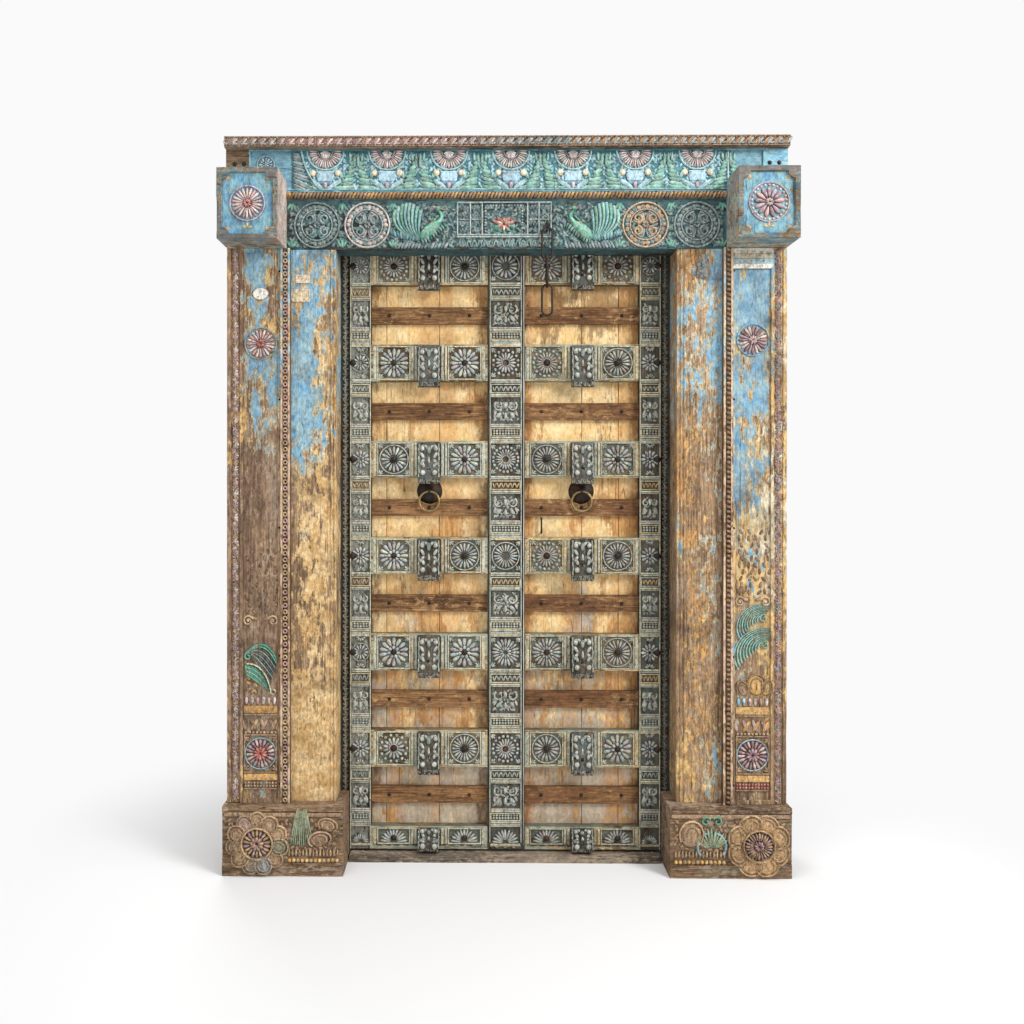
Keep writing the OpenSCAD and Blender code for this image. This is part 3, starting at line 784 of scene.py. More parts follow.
    def done(self, replaced=()):
        bmesh.ops.scale(self.form, vec=(1 / metre,) * 3, verts=self.form.verts)
        mesh = bpy.data.meshes.new(self.name)
        self.form.to_mesh(mesh)
        self.form.free()
        piece = bpy.data.objects.new(self.name, mesh)
        bpy.context.scene.collection.objects.link(piece)
        mesh.materials.append(finishes[self.finish])
        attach(piece, self.body)
        if replaced:
            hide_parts(*replaced)
        print(f"{self.name}: {len(mesh.polygons)} faces")


def spiral(x, z, radius, turns, start=0.0, hand=1, steps=22, end=0.18):
    # points of a scroll that winds in to its middle
    points = []
    for i in range(steps + 1):
        share = i / steps
        angle = start + hand * turns * 2 * math.pi * share
        reach = radius * (1 - (1 - end) * share)
        points.append((x + reach * math.sin(angle), z + reach * math.cos(angle)))
    return points


def arc(x, z, radius, start, end, steps=14, squash=1.0):
    return [(x + radius * math.sin(start + (end - start) * i / steps),
             z + squash * radius * math.cos(start + (end - start) * i / steps)) for i in range(steps + 1)]


def bend(start, middle, end, steps=12):
    # points of a curve that leaves start towards middle and arrives at end
    points = []
    for i in range(steps + 1):
        share = i / steps
        points.append(tuple((1 - share) ** 2 * a + 2 * share * (1 - share) * b + share * share * c
                            for a, b, c in zip(start, middle, end)))
    return points


def lobe(work, x, z, turn, wide, tall, rise, colour, rim):
    # a broad leaf with a raised edge and a vein
    across, along = (math.cos(turn), -math.sin(turn)), (math.sin(turn), math.cos(turn))
    work.stamp("bead", x, z, turn, (wide, rise, tall), colour)
    for size in (1.0, 0.62):
        points = []
        for i in range(13):
            angle = -2.3 + 4.6 * i / 12
            out, up = wide * 0.47 * size * math.sin(angle), tall * (0.5 + 0.47 * size * math.cos(angle))
            points.append((x + out * across[0] + up * along[0], z + out * across[1] + up * along[1]))
        work.strand(points, 3.0, rim, 1.0, rise + 2 * (2 - size))
    points = [(x + tall * reach * along[0], z + tall * reach * along[1]) for reach in (0.3, 0.5, 0.72)]
    work.strand(points, 3.0, rim, 0.6, rise + 4)


def scatter(work, low, high, step, size, rise, colours):
    # small leaves that fill a ground, so that no stretch of a carved board is bare
    columns, rows = int((high[0] - low[0]) / step), int((high[1] - low[1]) / step)
    for row in range(rows):
        for column in range(columns):
            x = low[0] + step * (column + 0.5 + work.chance.uniform(-0.2, 0.2))
            z = low[1] + step * (row + 0.3 + work.chance.uniform(-0.2, 0.2))
            turn = work.chance.choice([0.7, -0.7, 2.3, -2.3]) + work.chance.uniform(-0.3, 0.3)
            if not low[1] < z + size * math.cos(turn) < high[1]:
                turn = math.pi - turn
            if not low[0] < x + size * math.sin(turn) < high[0]:
                turn = -turn
            work.stamp("sliver", x, z, turn, (size * 0.5, rise, size), work.chance.choice(colours))


def creeper(work, low, high, across, wide, upright, colours, rise, pitch=24.0):
    # a winding stem with a leaf in each bend, from low to high along the strip
    count = max(2, round((high - low) / pitch))
    pitch = (high - low) / count
    stem = []
    for i in range(count * 4 + 1):
        along = low + pitch * i / 4
        side = across + wide * 0.26 * math.sin(math.pi * i / 4)
        stem.append((side, along) if upright else (along, side))
    longest = 24
    for first in range(0, len(stem) - 1, longest):
        run = stem[first:first + longest + 1]
        if len(run) > 1:
            work.strand(run, 1.8, colours[0], taper=1.0, rise=rise * 0.8)
    for i in range(count):
        along = low + pitch * (i + 0.5)
        hand = 1 if i % 2 else -1
        colour = colours[1 + i % (len(colours) - 1)]
        for tilt, reach in ((0.55, 0.50), (1.25, 0.42), (2.1, 0.30)):
            root = (across - hand * wide * 0.18, along - pitch * 0.35)
            turn = hand * tilt
            if not upright:
                root, turn = (root[1], root[0]), math.pi / 2 - hand * tilt
            work.stamp("sliver", root[0], root[1], turn, (wide * 0.2, rise, wide * reach * 1.3), colour)


def rosette(work, x, z, radius, count, rise, colours, kind="double", hub=None, lift=0.0):
    # a carved flower seen from the front
    if kind == "ringed":
        work.ring(x, z, radius * 0.9, radius, rise * 0.7, colours[0], lift)
        work.sunburst(x, z, radius * 0.24, radius * 0.88, count, rise, colours, wide=0.74, lift=lift)
    elif kind == "double":
        work.sunburst(x, z, radius * 0.34, radius, count, rise * 0.8, colours, wide=0.84, lift=lift)
        work.sunburst(x, z, radius * 0.12, radius * 0.44, count // 2, rise, colours[::-1], wide=0.9,
                      lift=lift)
    elif kind == "fringed":
        work.sunburst(x, z, radius * 0.2, radius * 0.74, count, rise, colours, wide=0.8, lift=lift)
        for i in range(count):
            angle = 2 * math.pi * (i + 0.5) / count
            px, pz = x + radius * 0.88 * math.sin(angle), z + radius * 0.88 * math.cos(angle)
            work.bead(px, pz, radius * 0.11, rise * 0.6, colours[i % len(colours)], lift)
    if hub:
        work.bead(x, z, radius * 0.2, rise * 1.15, hub, lift)


def cornerLeaves(work, x, z, half, rise, colours):
    # three short petals in each corner of a square field
    for sideX in (-1, 1):
        for sideZ in (-1, 1):
            inward = math.atan2(-sideX, -sideZ)
            for fan in (-0.5, 0, 0.5):
                reach = half * (0.34 if fan else 0.42)
                work.stamp("petal", x + sideX * half * 0.97, z + sideZ * half * 0.97, inward + fan,
                           (half * 0.15, rise, reach), colours[0])


def zigzag(work, low, high, pitch, rise, colours):
    # leaning petals that meet in points, as a carved zigzag
    count = max(2, round((high[0] - low[0]) / pitch))
    pitch = (high[0] - low[0]) / count
    tall = high[1] - low[1]
    for i in range(count):
        x = low[0] + pitch * (i + 0.5)
        for hand in (-1, 1):
            lean = hand * math.atan2(pitch * 0.42, tall)
            work.stamp("sliver", x, low[1], lean, (pitch * 0.3, rise, tall), colours[0])
        work.stamp("sliver", x + pitch / 2, low[1] + tall * 0.5, 0, (pitch * 0.28, rise * 0.8, tall * 0.46),
                   colours[-1])


def petalRow(work, low, high, pitch, rise, colours, down=False):
    count = max(2, round((high[0] - low[0]) / pitch))
    pitch = (high[0] - low[0]) / count
    for i in range(count):
        start = high[1] if down else low[1]
        work.stamp("petal", low[0] + pitch * (i + 0.5), start, math.pi if down else 0,
                   (pitch * 0.86, rise, high[1] - low[1]), colours[i % len(colours)])


def beadRow(work, start, end, radius, rise, colours, gap=1.15):
    length = math.dist(start, end)
    count = max(1, round(length / (2 * radius * gap)))
    for i in range(count):
        share = (i + 0.5) / count
        work.bead(start[0] + (end[0] - start[0]) * share, start[1] + (end[1] - start[1]) * share,
                  radius, rise, colours[i % len(colours)])


leafLook = {
    "petals": [tone("8c9792"), tone("a2a697"), tone("7a9097"), tone("91878c")],
    "bars": [tone("a5a68b"), tone("b9ab80"), tone("939b8b"), tone("b29a68")],
    "greens": [tone("8d998e"), tone("9fa79a"), tone("7c8f8d"), tone("a09a98")],
    "pink": tone("8f706c"),
    "ochre": [tone("b89257"), tone("a8854f")],
    "footStems": [tone("a08b70"), tone("b5a184"), tone("958a72")],
    # washes that make the left leaf's carving paler as painted light and the right leaf's darker as painted
    # shade
    "paintedLightWash": tone("e6e0d6"),
    "paintedShadeWash": tone("8a6a50"),
    "railField": 76.0,  # y of the sunk fields that the rails' carving grows from
    "face": 72.0,  # y of the rails' face, which the stiles and brackets are carved on
    "square": 52.0,  # half a rosette's field
    "rosetteAt": 116.0,  # from the middle of a leaf to its rosettes
    "rosetteFrame": 55,
    "mouldings": ((39, 48), (51, 59)),  # upright strips beside a bracket, from and to
    "endMoulding": (173, 183),
    "hangingStile": (443, 504),
    "vine": {"at": 524, "wide": 30, "top": 1990, "ground": 86.0},
}
railLow, railHigh = span("left_rail_1")
railPitch = railLow.z - span("left_rail_2")[0].z
railTall = railHigh.z - railLow.z
railCentres = [(railLow.z + railHigh.z) / 2 - railPitch * n for n in range(6)]
pieceNames = {"left": "left_leaf", "right": "right_leaf"}


def leafMiddle(side):
    low, high = span(f"{side}_rail_1")
    return (low.x + high.x) / 2


def squareRosette(work, x, z, half, chance):
    look = leafLook
    kind = chance.choice(["double", "ringed", "ringed", "fringed"])
    rosette(work, x, z, half * 0.95, chance.choice([14, 16, 18, 20]), 8.5, look["petals"], kind)
    cornerLeaves(work, x, z, half, 6.0, look["greens"])
    if kind == "fringed":
        work.ring(x, z, half * 0.2, half * 0.3, 7, look["pink"])


def carveRails(side):
    look = leafLook
    middle = leafMiddle(side)
    work = Carving(f"{side}RailCarving", pieceNames[side], look["railField"], "rail_paint")
    # painted light on the left leaf's rails, painted shade on the right leaf's rails
    work.wash = (look["paintedLightWash"], 0.14) if side == "left" else (look["paintedShadeWash"], 0.2)
    chance = random.Random(side + "rails")
    half = look["rosetteFrame"]
    uprights = (*look["mouldings"], look["endMoulding"])
    for number, z in enumerate(railCentres):
        low, high = z - railTall / 2, z + railTall / 2
        for hand in (-1, 1):
            x = middle + hand * look["rosetteAt"]
            squareRosette(work, x, z, look["square"], chance)
            work.frame((x - half, low + 5), (x + half, high - 5), 4.0, 6.5, look["bars"][number % 4])
            for inner, outer in uprights:
                edge = sorted((middle + hand * inner, middle + hand * outer))
                work.bar((edge[0], low + 6), (edge[1], high - 6), 6.0, chance.choice(look["bars"]),
                         bevel=2.0)
    lastLow, lastHigh = span(f"{side}_rail_7")
    for hand in (-1, 1):
        x = middle + hand * look["rosetteAt"]
        floor = lastLow.z + 22
        work.sunburst(x, floor, 8, 46, 11, 8, look["petals"], start=-1.45, sweep=2.9)
        work.frame((x - half, floor - 6), (x + half, lastHigh.z - 5), 4, 6.5, look["bars"][0])
        for inner, outer in uprights:
            edge = sorted((middle + hand * inner, middle + hand * outer))
            work.bar((edge[0], floor - 6), (edge[1], lastHigh.z - 6), 6.0, chance.choice(look["bars"]),
                     bevel=2.0)
    creeper(work, lastLow.x + 4, lastHigh.x - 4, lastLow.z + 8, 15, False, look["footStems"], 5, pitch=15)
    work.done()


def bracketDepth(z, low, high):
    # how far the bracket's face stands off the rail at this height
    belly = low + 0.3 * (high - low)
    places = [low, low + 6, belly, (high + belly) / 2, high]
    return float(np.interp(z, places, [16, 24, 28, 16.8, 7]))


def carveBrackets(side):
    look = leafLook
    middle = leafMiddle(side)
    work = Carving(f"{side}BracketCarving", pieceNames[side], look["face"], "bracket_paint")
    pale, mid, dark = tone("a8aca2"), tone("7b8580"), tone("0f0d0c")
    leaves = ((0.93, 2.3, 20), (0.93, 3.9, 20), (0.60, 0.5, 26), (0.60, 2.6, 24), (0.38, 0.35, 20))
    fullTall = 137  # the height of a bracket on which the leaves' lengths are drawn
    for number in range(7):
        if number < 6:
            high = min(railCentres[number] + railTall / 2 - 4, 2000)
            low = railCentres[number] - railTall / 2 - 20
        else:
            low, high = (edge.z for edge in span(f"{side}_rail_7"))
        tall = high - low

        def on(share):
            z = low + tall * share
            return z, bracketDepth(z, low, high)

        for hand in (-1, 1):
            for share, turn, size in leaves:
                z, lift = on(share)
                work.stamp("leaf", middle + hand * 15, z, hand * turn, (11, 7, size * tall / fullTall), pale,
                           lift - 1)
            z, lift = on(0.84)
            work.bead(middle + hand * 22, z, 8.5, 9, pale, lift)
            z, lift = on(0.27)
            work.bead(middle + hand * 19, z, 9.5, 10, pale, lift)
            z, lift = on(0.48)
            work.bead(middle + hand * 25, z, 7, 8, mid, lift)
            points = [(middle + hand * (33 - 1.5 * i % 3), low + tall * (0.16 + 0.1 * i)) for i in range(9)]
            for (px, pz), (_, qz) in zip(points, points[1:]):
                lift = bracketDepth((pz + qz) / 2, low, high)
                work.bar((px - 2.2, pz), (px + 2.2, qz), 3.5, mid, bevel=1.0, lift=lift - 0.6)
        z, lift = on(0.66)
        work.stamp("petal", middle, z, math.pi, (13, 9, tall * 0.2), pale, lift - 1)
        z, lift = on(0.70)
        work.stamp("leaf", middle, z, 0, (14, 9, tall * 0.22), mid, lift - 1)
        z, lift = on(0.46)
        work.stamp("leaf", middle, z, math.pi, (16, 8, tall * 0.24), dark, lift - 1)
        # a near-black bar and teeth at each bracket's foot: partly black paint, partly painted shade beneath
        # the bracket
        work.bar((middle - 36, low + 1), (middle + 36, low + tall * 0.15), 3, dark, lift=22)
        for tooth in range(5):
            x = middle + (tooth - 2) * 14.0
            work.stamp("reed", x, low - 1, 0, (10, 6, tall * 0.15), blendTones(dark, mid, 0.16), 23)
    work.done()


def stilePeriod(work, left, right, top, bottom, chance, wide):
    # one stretch of stile between two rails' rosettes: mouldings, small panel, carved block, bead panel
    look = leafLook
    tall = top - bottom
    middle = (left + right) / 2

    def moulding(start, height, colour):
        work.bar((left, top - start - height), (right, top - start), 5.5, colour, bevel=2.2)

    moulding(2, 6, look["bars"][0])
    moulding(9.5, 4, look["greens"][0])
    panelLow, panelHigh = top - 48, top - 17
    work.frame((left, panelLow), (right, panelHigh), 3.2, 5.5, chance.choice(look["bars"]))
    zigzag(work, (left + 5, panelLow + 5), (right - 5, panelHigh - 5), 16 if wide else 13, 5.5,
           chance.choice([look["ochre"], look["greens"]]))
    moulding(50.5, 5, look["bars"][1])
    moulding(57, 3.5, look["greens"][2])
    blockHigh, blockLow = top - 62, bottom + 62
    centre = (blockHigh + blockLow) / 2
    ground = [blendTones(colour, tone("3a3d3a"), 0.35) for colour in look["greens"]]
    scatter(work, (left + 3, blockLow + 3), (right - 3, blockHigh - 3), 10.5, 15, 4, ground)
    across = right - left
    for hand in (-1, 1):
        scroll = spiral(middle + hand * across * 0.22, centre + 14, across * 0.17, 1.2, hand * 0.6, hand)
        work.strand(scroll, 3.4, look["greens"][1], rise=8)
        work.stamp("leaf", middle + hand * across * 0.14, centre - 6, hand * 2.4, (13, 8, 26),
                   look["greens"][0])
        work.stamp("leaf", middle + hand * across * 0.40, centre - 20, hand * -0.4, (9, 7, 24),
                   look["greens"][3])
    work.stamp("petal", middle, centre - 4, math.pi, (16, 9, 26), look["petals"][0])
    work.stamp("petal", middle, centre + 4, 0, (16, 9, 24), look["petals"][1])
    moulding(tall - 60, 4, look["greens"][3])
    moulding(tall - 54.5, 6, look["bars"][2])
    panelLow, panelHigh = bottom + 19, bottom + 46
    work.frame((left, panelLow), (right, panelHigh), 3.2, 5.5, chance.choice(look["bars"]))
    beadRow(work, (left + 6, panelLow + 9.2), (right - 6, panelLow + 9.2), 4.4, 5, look["greens"], gap=1.1)
    beadRow(work, (left + 6, panelLow + 18.4), (right - 6, panelLow + 18.4), 4.4, 5, look["greens"], gap=1.1)
    moulding(tall - 17.5, 4.5, look["bars"][0])
    moulding(tall - 11, 6, look["greens"][2])
    work.bar((left, bottom + 0.5), (right, bottom + 4.5), 5.0, look["bars"][1], bevel=1.6)


def carveStile(name, body, node, left, right, wide, ground):
    look = leafLook
    work = Carving(name, body, ground, "stile_wood")
    # painted shade on the right leaf's stile, painted light on the others
    work.wash = (look["paintedShadeWash"], 0.1) if name.startswith("right") else (look["paintedLightWash"], 0.14)
    chance = random.Random(name)
    middle, half = (left + right) / 2, look["square"]
    wideEnough = min(half, (right - left) / 2)
    stileTop = span(node)[1].z
    for number, z in enumerate(railCentres):
        if wide:
            squareRosette(work, middle, z, wideEnough, chance)
        else:
            kind = chance.choice(["ringed", "double"])
            rosette(work, middle, z, (right - left) * 0.5, 12, 7.5, look["petals"], kind)
            for hand in (-1, 1):
                work.sunburst(middle, z + hand * half, 4, 17, 5, 6, look["greens"],
                              start=math.pi / 2 * (1 + hand) - 1.2, sweep=2.4)
        work.bar((left, z + half), (right, z + half + 4), 5.5, look["bars"][number % 4], bevel=1.4)
        bottom = railCentres[number + 1] + half + 4 if number < 5 else span("left_rail_7")[1].z
        stilePeriod(work, left, right, z - half, bottom, chance, wide)
    bottom = span("left_rail_7")[1].z
    reach = min(46, (right - left) * 0.46)
    work.sunburst(middle, bottom - 52, 6, reach, 11, 8, look["petals"], start=-1.5, sweep=3.0)
    work.bar((left, bottom - 62), (right, bottom - 55), 5.5, look["bars"][1], bevel=2)
    if stileTop > railCentres[0] + half + 10:
        work.bar((left, stileTop - 12), (right, stileTop - 3), 5.5, look["bars"][1], bevel=2)
    rib = look["bars"][2 if wide else 0]
    for edge in (left - 3.4, right + 0.4):
        work.bar((edge, span(node)[0].z + 24), (edge + 3, stileTop - 2), 6.0, rib, bevel=1)
    creeper(work, left, right, span(node)[0].z + 11, 16, False, look["footStems"], 5, pitch=15)
    work.done()


def carveBorder(side):
    vine = leafLook["vine"]
    hand = -1 if side == "left" else 1
    low = span(f"{side}_hanging_stile")[0]
    work = Carving(f"{side}BorderVine", pieceNames[side], vine["ground"], "stile_wood")
    # painted light on the left border and painted shade on the right one, which the right jamb shadows
    work.wash = (tone("d8d4c4") if side == "left" else tone("2a2824"), 0.35)
    colours = [tone("6e6c60"), tone("8f8f80"), tone("7a7d74"), tone("9a9280")]
    start = low.z + 24 if low.z > 20 else 54
    creeper(work, start, vine["top"], hand * vine["at"], vine["wide"], True, colours, 7, pitch=17)
    work.done()


for side in ("left", "right"):
    carveRails(side)
    carveBrackets(side)
    inner, outer = leafLook["hangingStile"]
    edges = (-outer, -inner) if side == "left" else (inner, outer)
    carveStile(f"{side}StileCarving", pieceNames[side], f"{side}_hanging_stile", *edges, False,
               leafLook["face"])
    carveBorder(side)
centreLow, centreHigh = span("centre_stile")
carveStile("centreStileCarving", "left_leaf", "centre_stile", centreLow.x + 10, centreHigh.x - 10, True,
           leafLook["face"])
print("leaves are carved")


frameLook = {
    "teals": [tone("5e949a"), tone("7cacb2"), tone("4e8794"), tone("8ab6ba")],
    "greys": [tone("728a8c"), tone("889c9c"), tone("657d82"), tone("9ba7a6")],
    "greens": [tone("4c9a84"), tone("67ab95"), tone("3f8678"), tone("7fb8a4")],
    "blues": [tone("7fb3cc"), tone("97c0d0")],
    "pinks": [tone("c4a9a6"), tone("d0bcb6"), tone("b98f8c"), tone("c9c0bb")],
    "purples": [tone("957682"), tone("a8909a"), tone("83646f")],
    "reds": [tone("b4605c"), tone("c4807a")],
    "creams": [tone("d3c7a8"), tone("c4b188")],
    "tans": [tone("a98b6e"), tone("bda07c"), tone("957860"), tone("b0957f")],
    "ochres": [tone("c79a58"), tone("d8b06a"), tone("b0803f")],
    "browns": [tone("755b49"), tone("866b56"), tone("644c3d")],
    "face": -28.0,  # y of the lintel's carved ground
    "ropePitch": 11.5,
    "leafPitch": 30,
}


def carveRope():
    # a two-strand rope laid under the head board
    look = frameLook
    low, high = span("rope_moulding")
    work = Carving("twistedRope", "frame", look["face"] + 1, "rope_paint", "carvedWood")
    work.wash = (tone("4a3624"), 0.2)
    middle, pitch = (low.z + high.z) / 2, look["ropePitch"]
    count = int((high.x - low.x) / pitch)
    # painted shade: a dark brown bar behind the beads, which shows in the grooves between them
    work.bar((low.x, low.z + 2), (high.x, high.z - 2), 6, tone("2c1e14"), bevel=3)
    for i in range(count):
        x = low.x + pitch * (i + 0.5) + work.chance.uniform(-0.8, 0.8)
        colour = blendTones(work.chance.choice(look["ochres"] + look["tans"]), look["browns"][0], 0.22)
        work.stamp("bead", x - 6, middle - 12, 0.5, (9.8, 19, 26), colour)
    for end in (low.x + 4, high.x - 4):
        work.bead(end, middle, 12, 19, look["ochres"][2])
    work.done(["rope_moulding"])


def carveCornice():
    look = frameLook
    low, high = span("cornice_strip")
    work = Carving("corniceLeaves", "frame", low.y, "cornice_paint", "carvedWood")
    work.wash = (tone("4e4038"), 0.2)
    middle, pitch = (low.z + high.z) / 2, look["leafPitch"]
    count = int((high.x - low.x) / pitch)
    for i in range(count):
        x = low.x + pitch * (i + 0.5)
        redness = max(0.0, min(1.0, (120 - x) / 420)) if x > -700 else 0.6
        base = blendTones(look["greys"][2] if x < 200 else look["tans"][2], look["reds"][0], redness * 0.5)
        pale = blendTones(look["greys"][3], look["pinks"][1], redness)
        work.strand(spiral(x - 7, middle + 1, 11, 0.85, 2.4, 1, 10, 0.3), 3.4, pale, rise=7)
        work.stamp("leaf", x - 3, middle - 15, 0.8, (14, 8, 41), base)
        work.stamp("leaf", x + 9, middle - 15, 0.7, (9, 9, 34), pale)
        work.bead(x + 4, middle + 11, 3.6, 4, base)
    work.bar((low.x + 1, high.z - 4), (high.x - 1, high.z - 0.5), 4, look["browns"][1])
    work.bar((low.x + 1, low.z + 0.5), (high.x - 1, low.z + 3.5), 4, look["browns"][0])
    work.done()


friezeLayout = {
    "ground": -22.0,
    "top": 2284.0,
    "floor": 2162.0,
    "ends": (-680, 700),
    "firstFlower": -574.0,
    "flowerPitch": 196.5,
    "flowers": 7,
    "columnTiers": 7,
    "fernRibs": 13,
    "medallion": (-764, 2243),
}


def carveFrieze():
    # half flowers over cups, parted by acanthus columns
    look, layout = frameLook, friezeLayout
    work = Carving("headBoardFrieze", "frame", layout["ground"], "head_paint", "carvedFrame")
    work.wash = (tone("e2ecee"), 0.16)
    top, floor = layout["top"], layout["floor"]
    leftEnd, rightEnd = layout["ends"]
    ground = [tone("7cb6c4"), tone("8cc0c8"), tone("6caaa6"), tone("9cc6d4")]
    scatter(work, (leftEnd, floor), (rightEnd, top), 11, 18, 2.8, ground)
    pitch, first = layout["flowerPitch"], layout["firstFlower"]
    for i in range(layout["flowers"]):
        x = first + pitch * i
        petals = look["pinks"] if i not in (3, 4) else [look["pinks"][3], look["creams"][0],
                                                        look["purples"][1]]
        work.sunburst(x, top - 2, 22, 53, 19, 7, petals, start=math.pi / 2 - 0.06, sweep=math.pi + 0.12,
                      wide=0.92)
        work.bead(x, top - 11, 17, 7, look["pinks"][1])
        for turn in range(5):
            work.stamp("petal", x, top - 3, math.pi / 2 + 0.3 + turn * 0.64, (8, 10, 19), look["pinks"][3])
        work.strand(arc(x, top, 23, math.pi / 2, math.pi * 1.5, 12), 2.0, look["purples"][0], 1.0, 8)
        work.strand(arc(x, top, 58, math.pi / 2, math.pi * 1.5, 18), 3.2, look["teals"][3], 1.0, 6)
        for hand in (-1, 1):  # the cup and the two balls beside it
            work.stamp("leaf", x + hand * 6, floor + 14, hand * 0.42, (24, 6, 50), look["blues"][0])
            work.stamp("leaf", x + hand * 12, floor + 8, hand * 1.05, (18, 6, 48), look["teals"][3])
            work.stamp("leaf", x + hand * 8, floor, hand * 0.75, (14, 7, 30), look["blues"][1])
            work.bead(x + hand * 40, top - 68, 12, 9, look["creams"][0])
            work.stamp("leaf", x + hand * 54, top - 88, hand * -0.35, (13, 6, 34), look["greens"][3])
            work.stamp("leaf", x + hand * 34, floor, hand * -0.5, (14, 6, 32), look["teals"][1])
            work.stamp("leaf", x + hand * 24, floor, hand * 1.2, (11, 7, 36), look["greens"][1])
        work.bar((x - 25, floor + 28), (x + 25, floor + 54), 6, look["blues"][0], bevel=3)
        work.bar((x - 29, floor + 54), (x + 29, floor + 58), 7, look["blues"][1], bevel=2)
        work.stamp("petal", x, floor + 1, 0, (19, 8, 26), look["purples"][1])
    for i in range(1, layout["flowers"] + 1):
        x = first + pitch * (i - 0.5)
        for hand in (-1, 1):
            work.stamp("reed", x + hand * 6, top - 56, 0, (12, 8, 56), look["greens"][2])
            work.stamp("reed", x + hand * 17, top - 34, hand * 0.1, (9, 6, 34), look["greens"][3])
            for tier in range(layout["columnTiers"]):
                z = top - 30 - tier * 13.5
                size = (14, 8.5 - tier * 0.2, 24 + tier * 6.0)
                work.stamp("leaf", x + hand * 3, z, hand * (2.2 - 0.09 * tier), size,
                           look["greens"][(tier + i) % 4])
            work.stamp("leaf", x + hand * 24, floor, hand * 0.9, (11, 6, 26), look["teals"][3])
    for rib in range(layout["fernRibs"]):  # the fern at the left end
        share = rib / (layout["fernRibs"] - 1)
        work.stamp("leaf", -682, top - 5 - share * 104, 1.75 + 0.3 * share, (10, 6.5, 30 + 54 * share),
                   look["greys" if rib % 3 else "teals"][rib % 4])
    work.strand(bend((-650, top), (-640, top - 70), (-592, floor + 2)), 3.6, look["teals"][1], 0.8, 9)
    rosette(work, *layout["medallion"], 24, 12, 6, look["blues"], "double", hub=look["pinks"][1])
    work.ring(*layout["medallion"], 25, 29, 5, look["blues"][1])
    work.bar((-808, floor), (-684, floor + 5), 4, look["blues"][0])
    work.bar((-684, floor), (800, floor + 4), 4, look["teals"][0])
    work.bar((rightEnd, floor + 5), (rightEnd + 4, top), 5, look["teals"][1])
    work.done()


def roundel(work, x, z, radius, ring, curls):
    # two rings with leaves between them, and scrolls wound into each other inside
    work.ring(x, z, radius * 0.91, radius, 8, ring[0])
    work.ring(x, z, radius * 0.62, radius * 0.69, 8, ring[1])
    work.sunburst(x, z, radius * 0.68, radius * 0.93, 26, 6.5, ring, wide=1.0, twist=0.75, shape="leaf")
    for hand in (-1, 1):
        for up in (-1, 1):
            for number, (fan, reach) in enumerate(((0.22, 0.58), (0.72, 0.44), (1.3, 0.57))):
                turn = hand * fan if up > 0 else math.pi - hand * fan
                work.stamp("leaf", x + hand * 3, z + up * 4, turn, (12, 8, radius * reach),
                           curls[(number + up) % len(curls)])
            px, pz = x + hand * radius * 0.33, z + up * radius * 0.27
            scroll = spiral(px, pz, radius * 0.22, 1.25, math.pi if up > 0 else 0, hand * up, 18, 0.2)
            work.strand(scroll, 4.4, curls[(hand + 1) // 2], 0.7, 11)
            half = 0 if up > 0 else math.pi
            rim = arc(x, z, radius * 0.56, up * hand * 0.25 + half, up * hand * 1.1 + half, 8)
            work.strand(rim, 4.2, curls[-1], 0.5, 10)
    work.sunburst(x, z, 1, radius * 0.16, 7, 13, curls)
    for side in (-1, 1):
        work.bead(x + side * radius * 0.81, z, radius * 0.1, 10, ring[2])


def peacock(work, x, z, hand):
    # a bird whose head is on the hand side, with its folded tail in thick ribs behind it
    look = frameLook
    tail = [look["greens"][3], look["teals"][3], look["greens"][1], look["teals"][1]]
    for rib in range(8):
        back = 104 - 11.5 * rib
        points = bend((x - hand * (back - 12), z + 70 - 1.9 * (rib - 3.4) ** 2),
                      (x - hand * (back + 14 - rib * 2), z - 12),
                      (x - hand * (22 - rib), z - 48 + rib))
        work.strand(points, 6.6, tail[rib % 4], 0.45, 9 + rib * 0.5)
    for i in range(12):
        share = i / 11
        px, pz = x - hand * (98 - 92 * share), z - 36 - 16 * math.sin(share * 2.6)
        work.stamp("leaf", px, pz, hand * (-0.5 + 1.4 * share), (10, 8, 30), look["teals"][i % 4])
    work.stamp("bead", x - hand * 18, z - 46, hand * 0.85, (42, 17, 92), look["greens"][1])
    breast = [look["greens"][2], look["greys"][3], look["greens"][3]]
    for i in range(10):
        work.stamp("leaf", x - hand * 10 + hand * 7.5 * i, z - 34 + 4.6 * i, hand * (2.9 - 0.05 * i),
                   (8.5, 14, 36 - 1.5 * i), breast[i % 3])
    for i in range(6):
        colour = look["ochres"][1] if i == 3 else look["greens"][3]
        work.stamp("leaf", x - hand * 8 + hand * 8 * i, z - 26 + 9 * i, hand * 0.9, (6, 19, 18), colour)
    neck = [(x + hand * (40 + 14 * math.sin(i / 9 * 3)), z + 4 + 44 * i / 9) for i in range(10)]
    work.strand(neck, 10.0, look["greens"][1], 0.55, 13)
    headX, headZ = neck[-1]
    work.bead(headX + hand * 1, headZ + 4, 9, 13, look["greens"][0])
    work.stamp("petal", headX + hand * 4, headZ + 5, hand * 1.9, (6, 8, 15), look["ochres"][0])
    for crest in (-0.5, 0, 0.5):
        work.stamp("petal", headX, headZ + 9, crest, (4, 7, 14), look["browns"][1])
    for i in range(9):
        colour = look["purples"][0] if i % 3 == 1 else look["greys"][2]
        work.stamp("leaf", x + hand * (6 + 5.5 * i), z + 66 - 2 * (i % 3), hand * 2.6, (8, 6, 26 - i),
                   colour)
    for i in range(16):
        work.stamp("leaf", x - hand * 96 + hand * 10.5 * i, z - 76, hand * 0.5, (9.5, 7, 27),
                   look["greys"][i % 4])


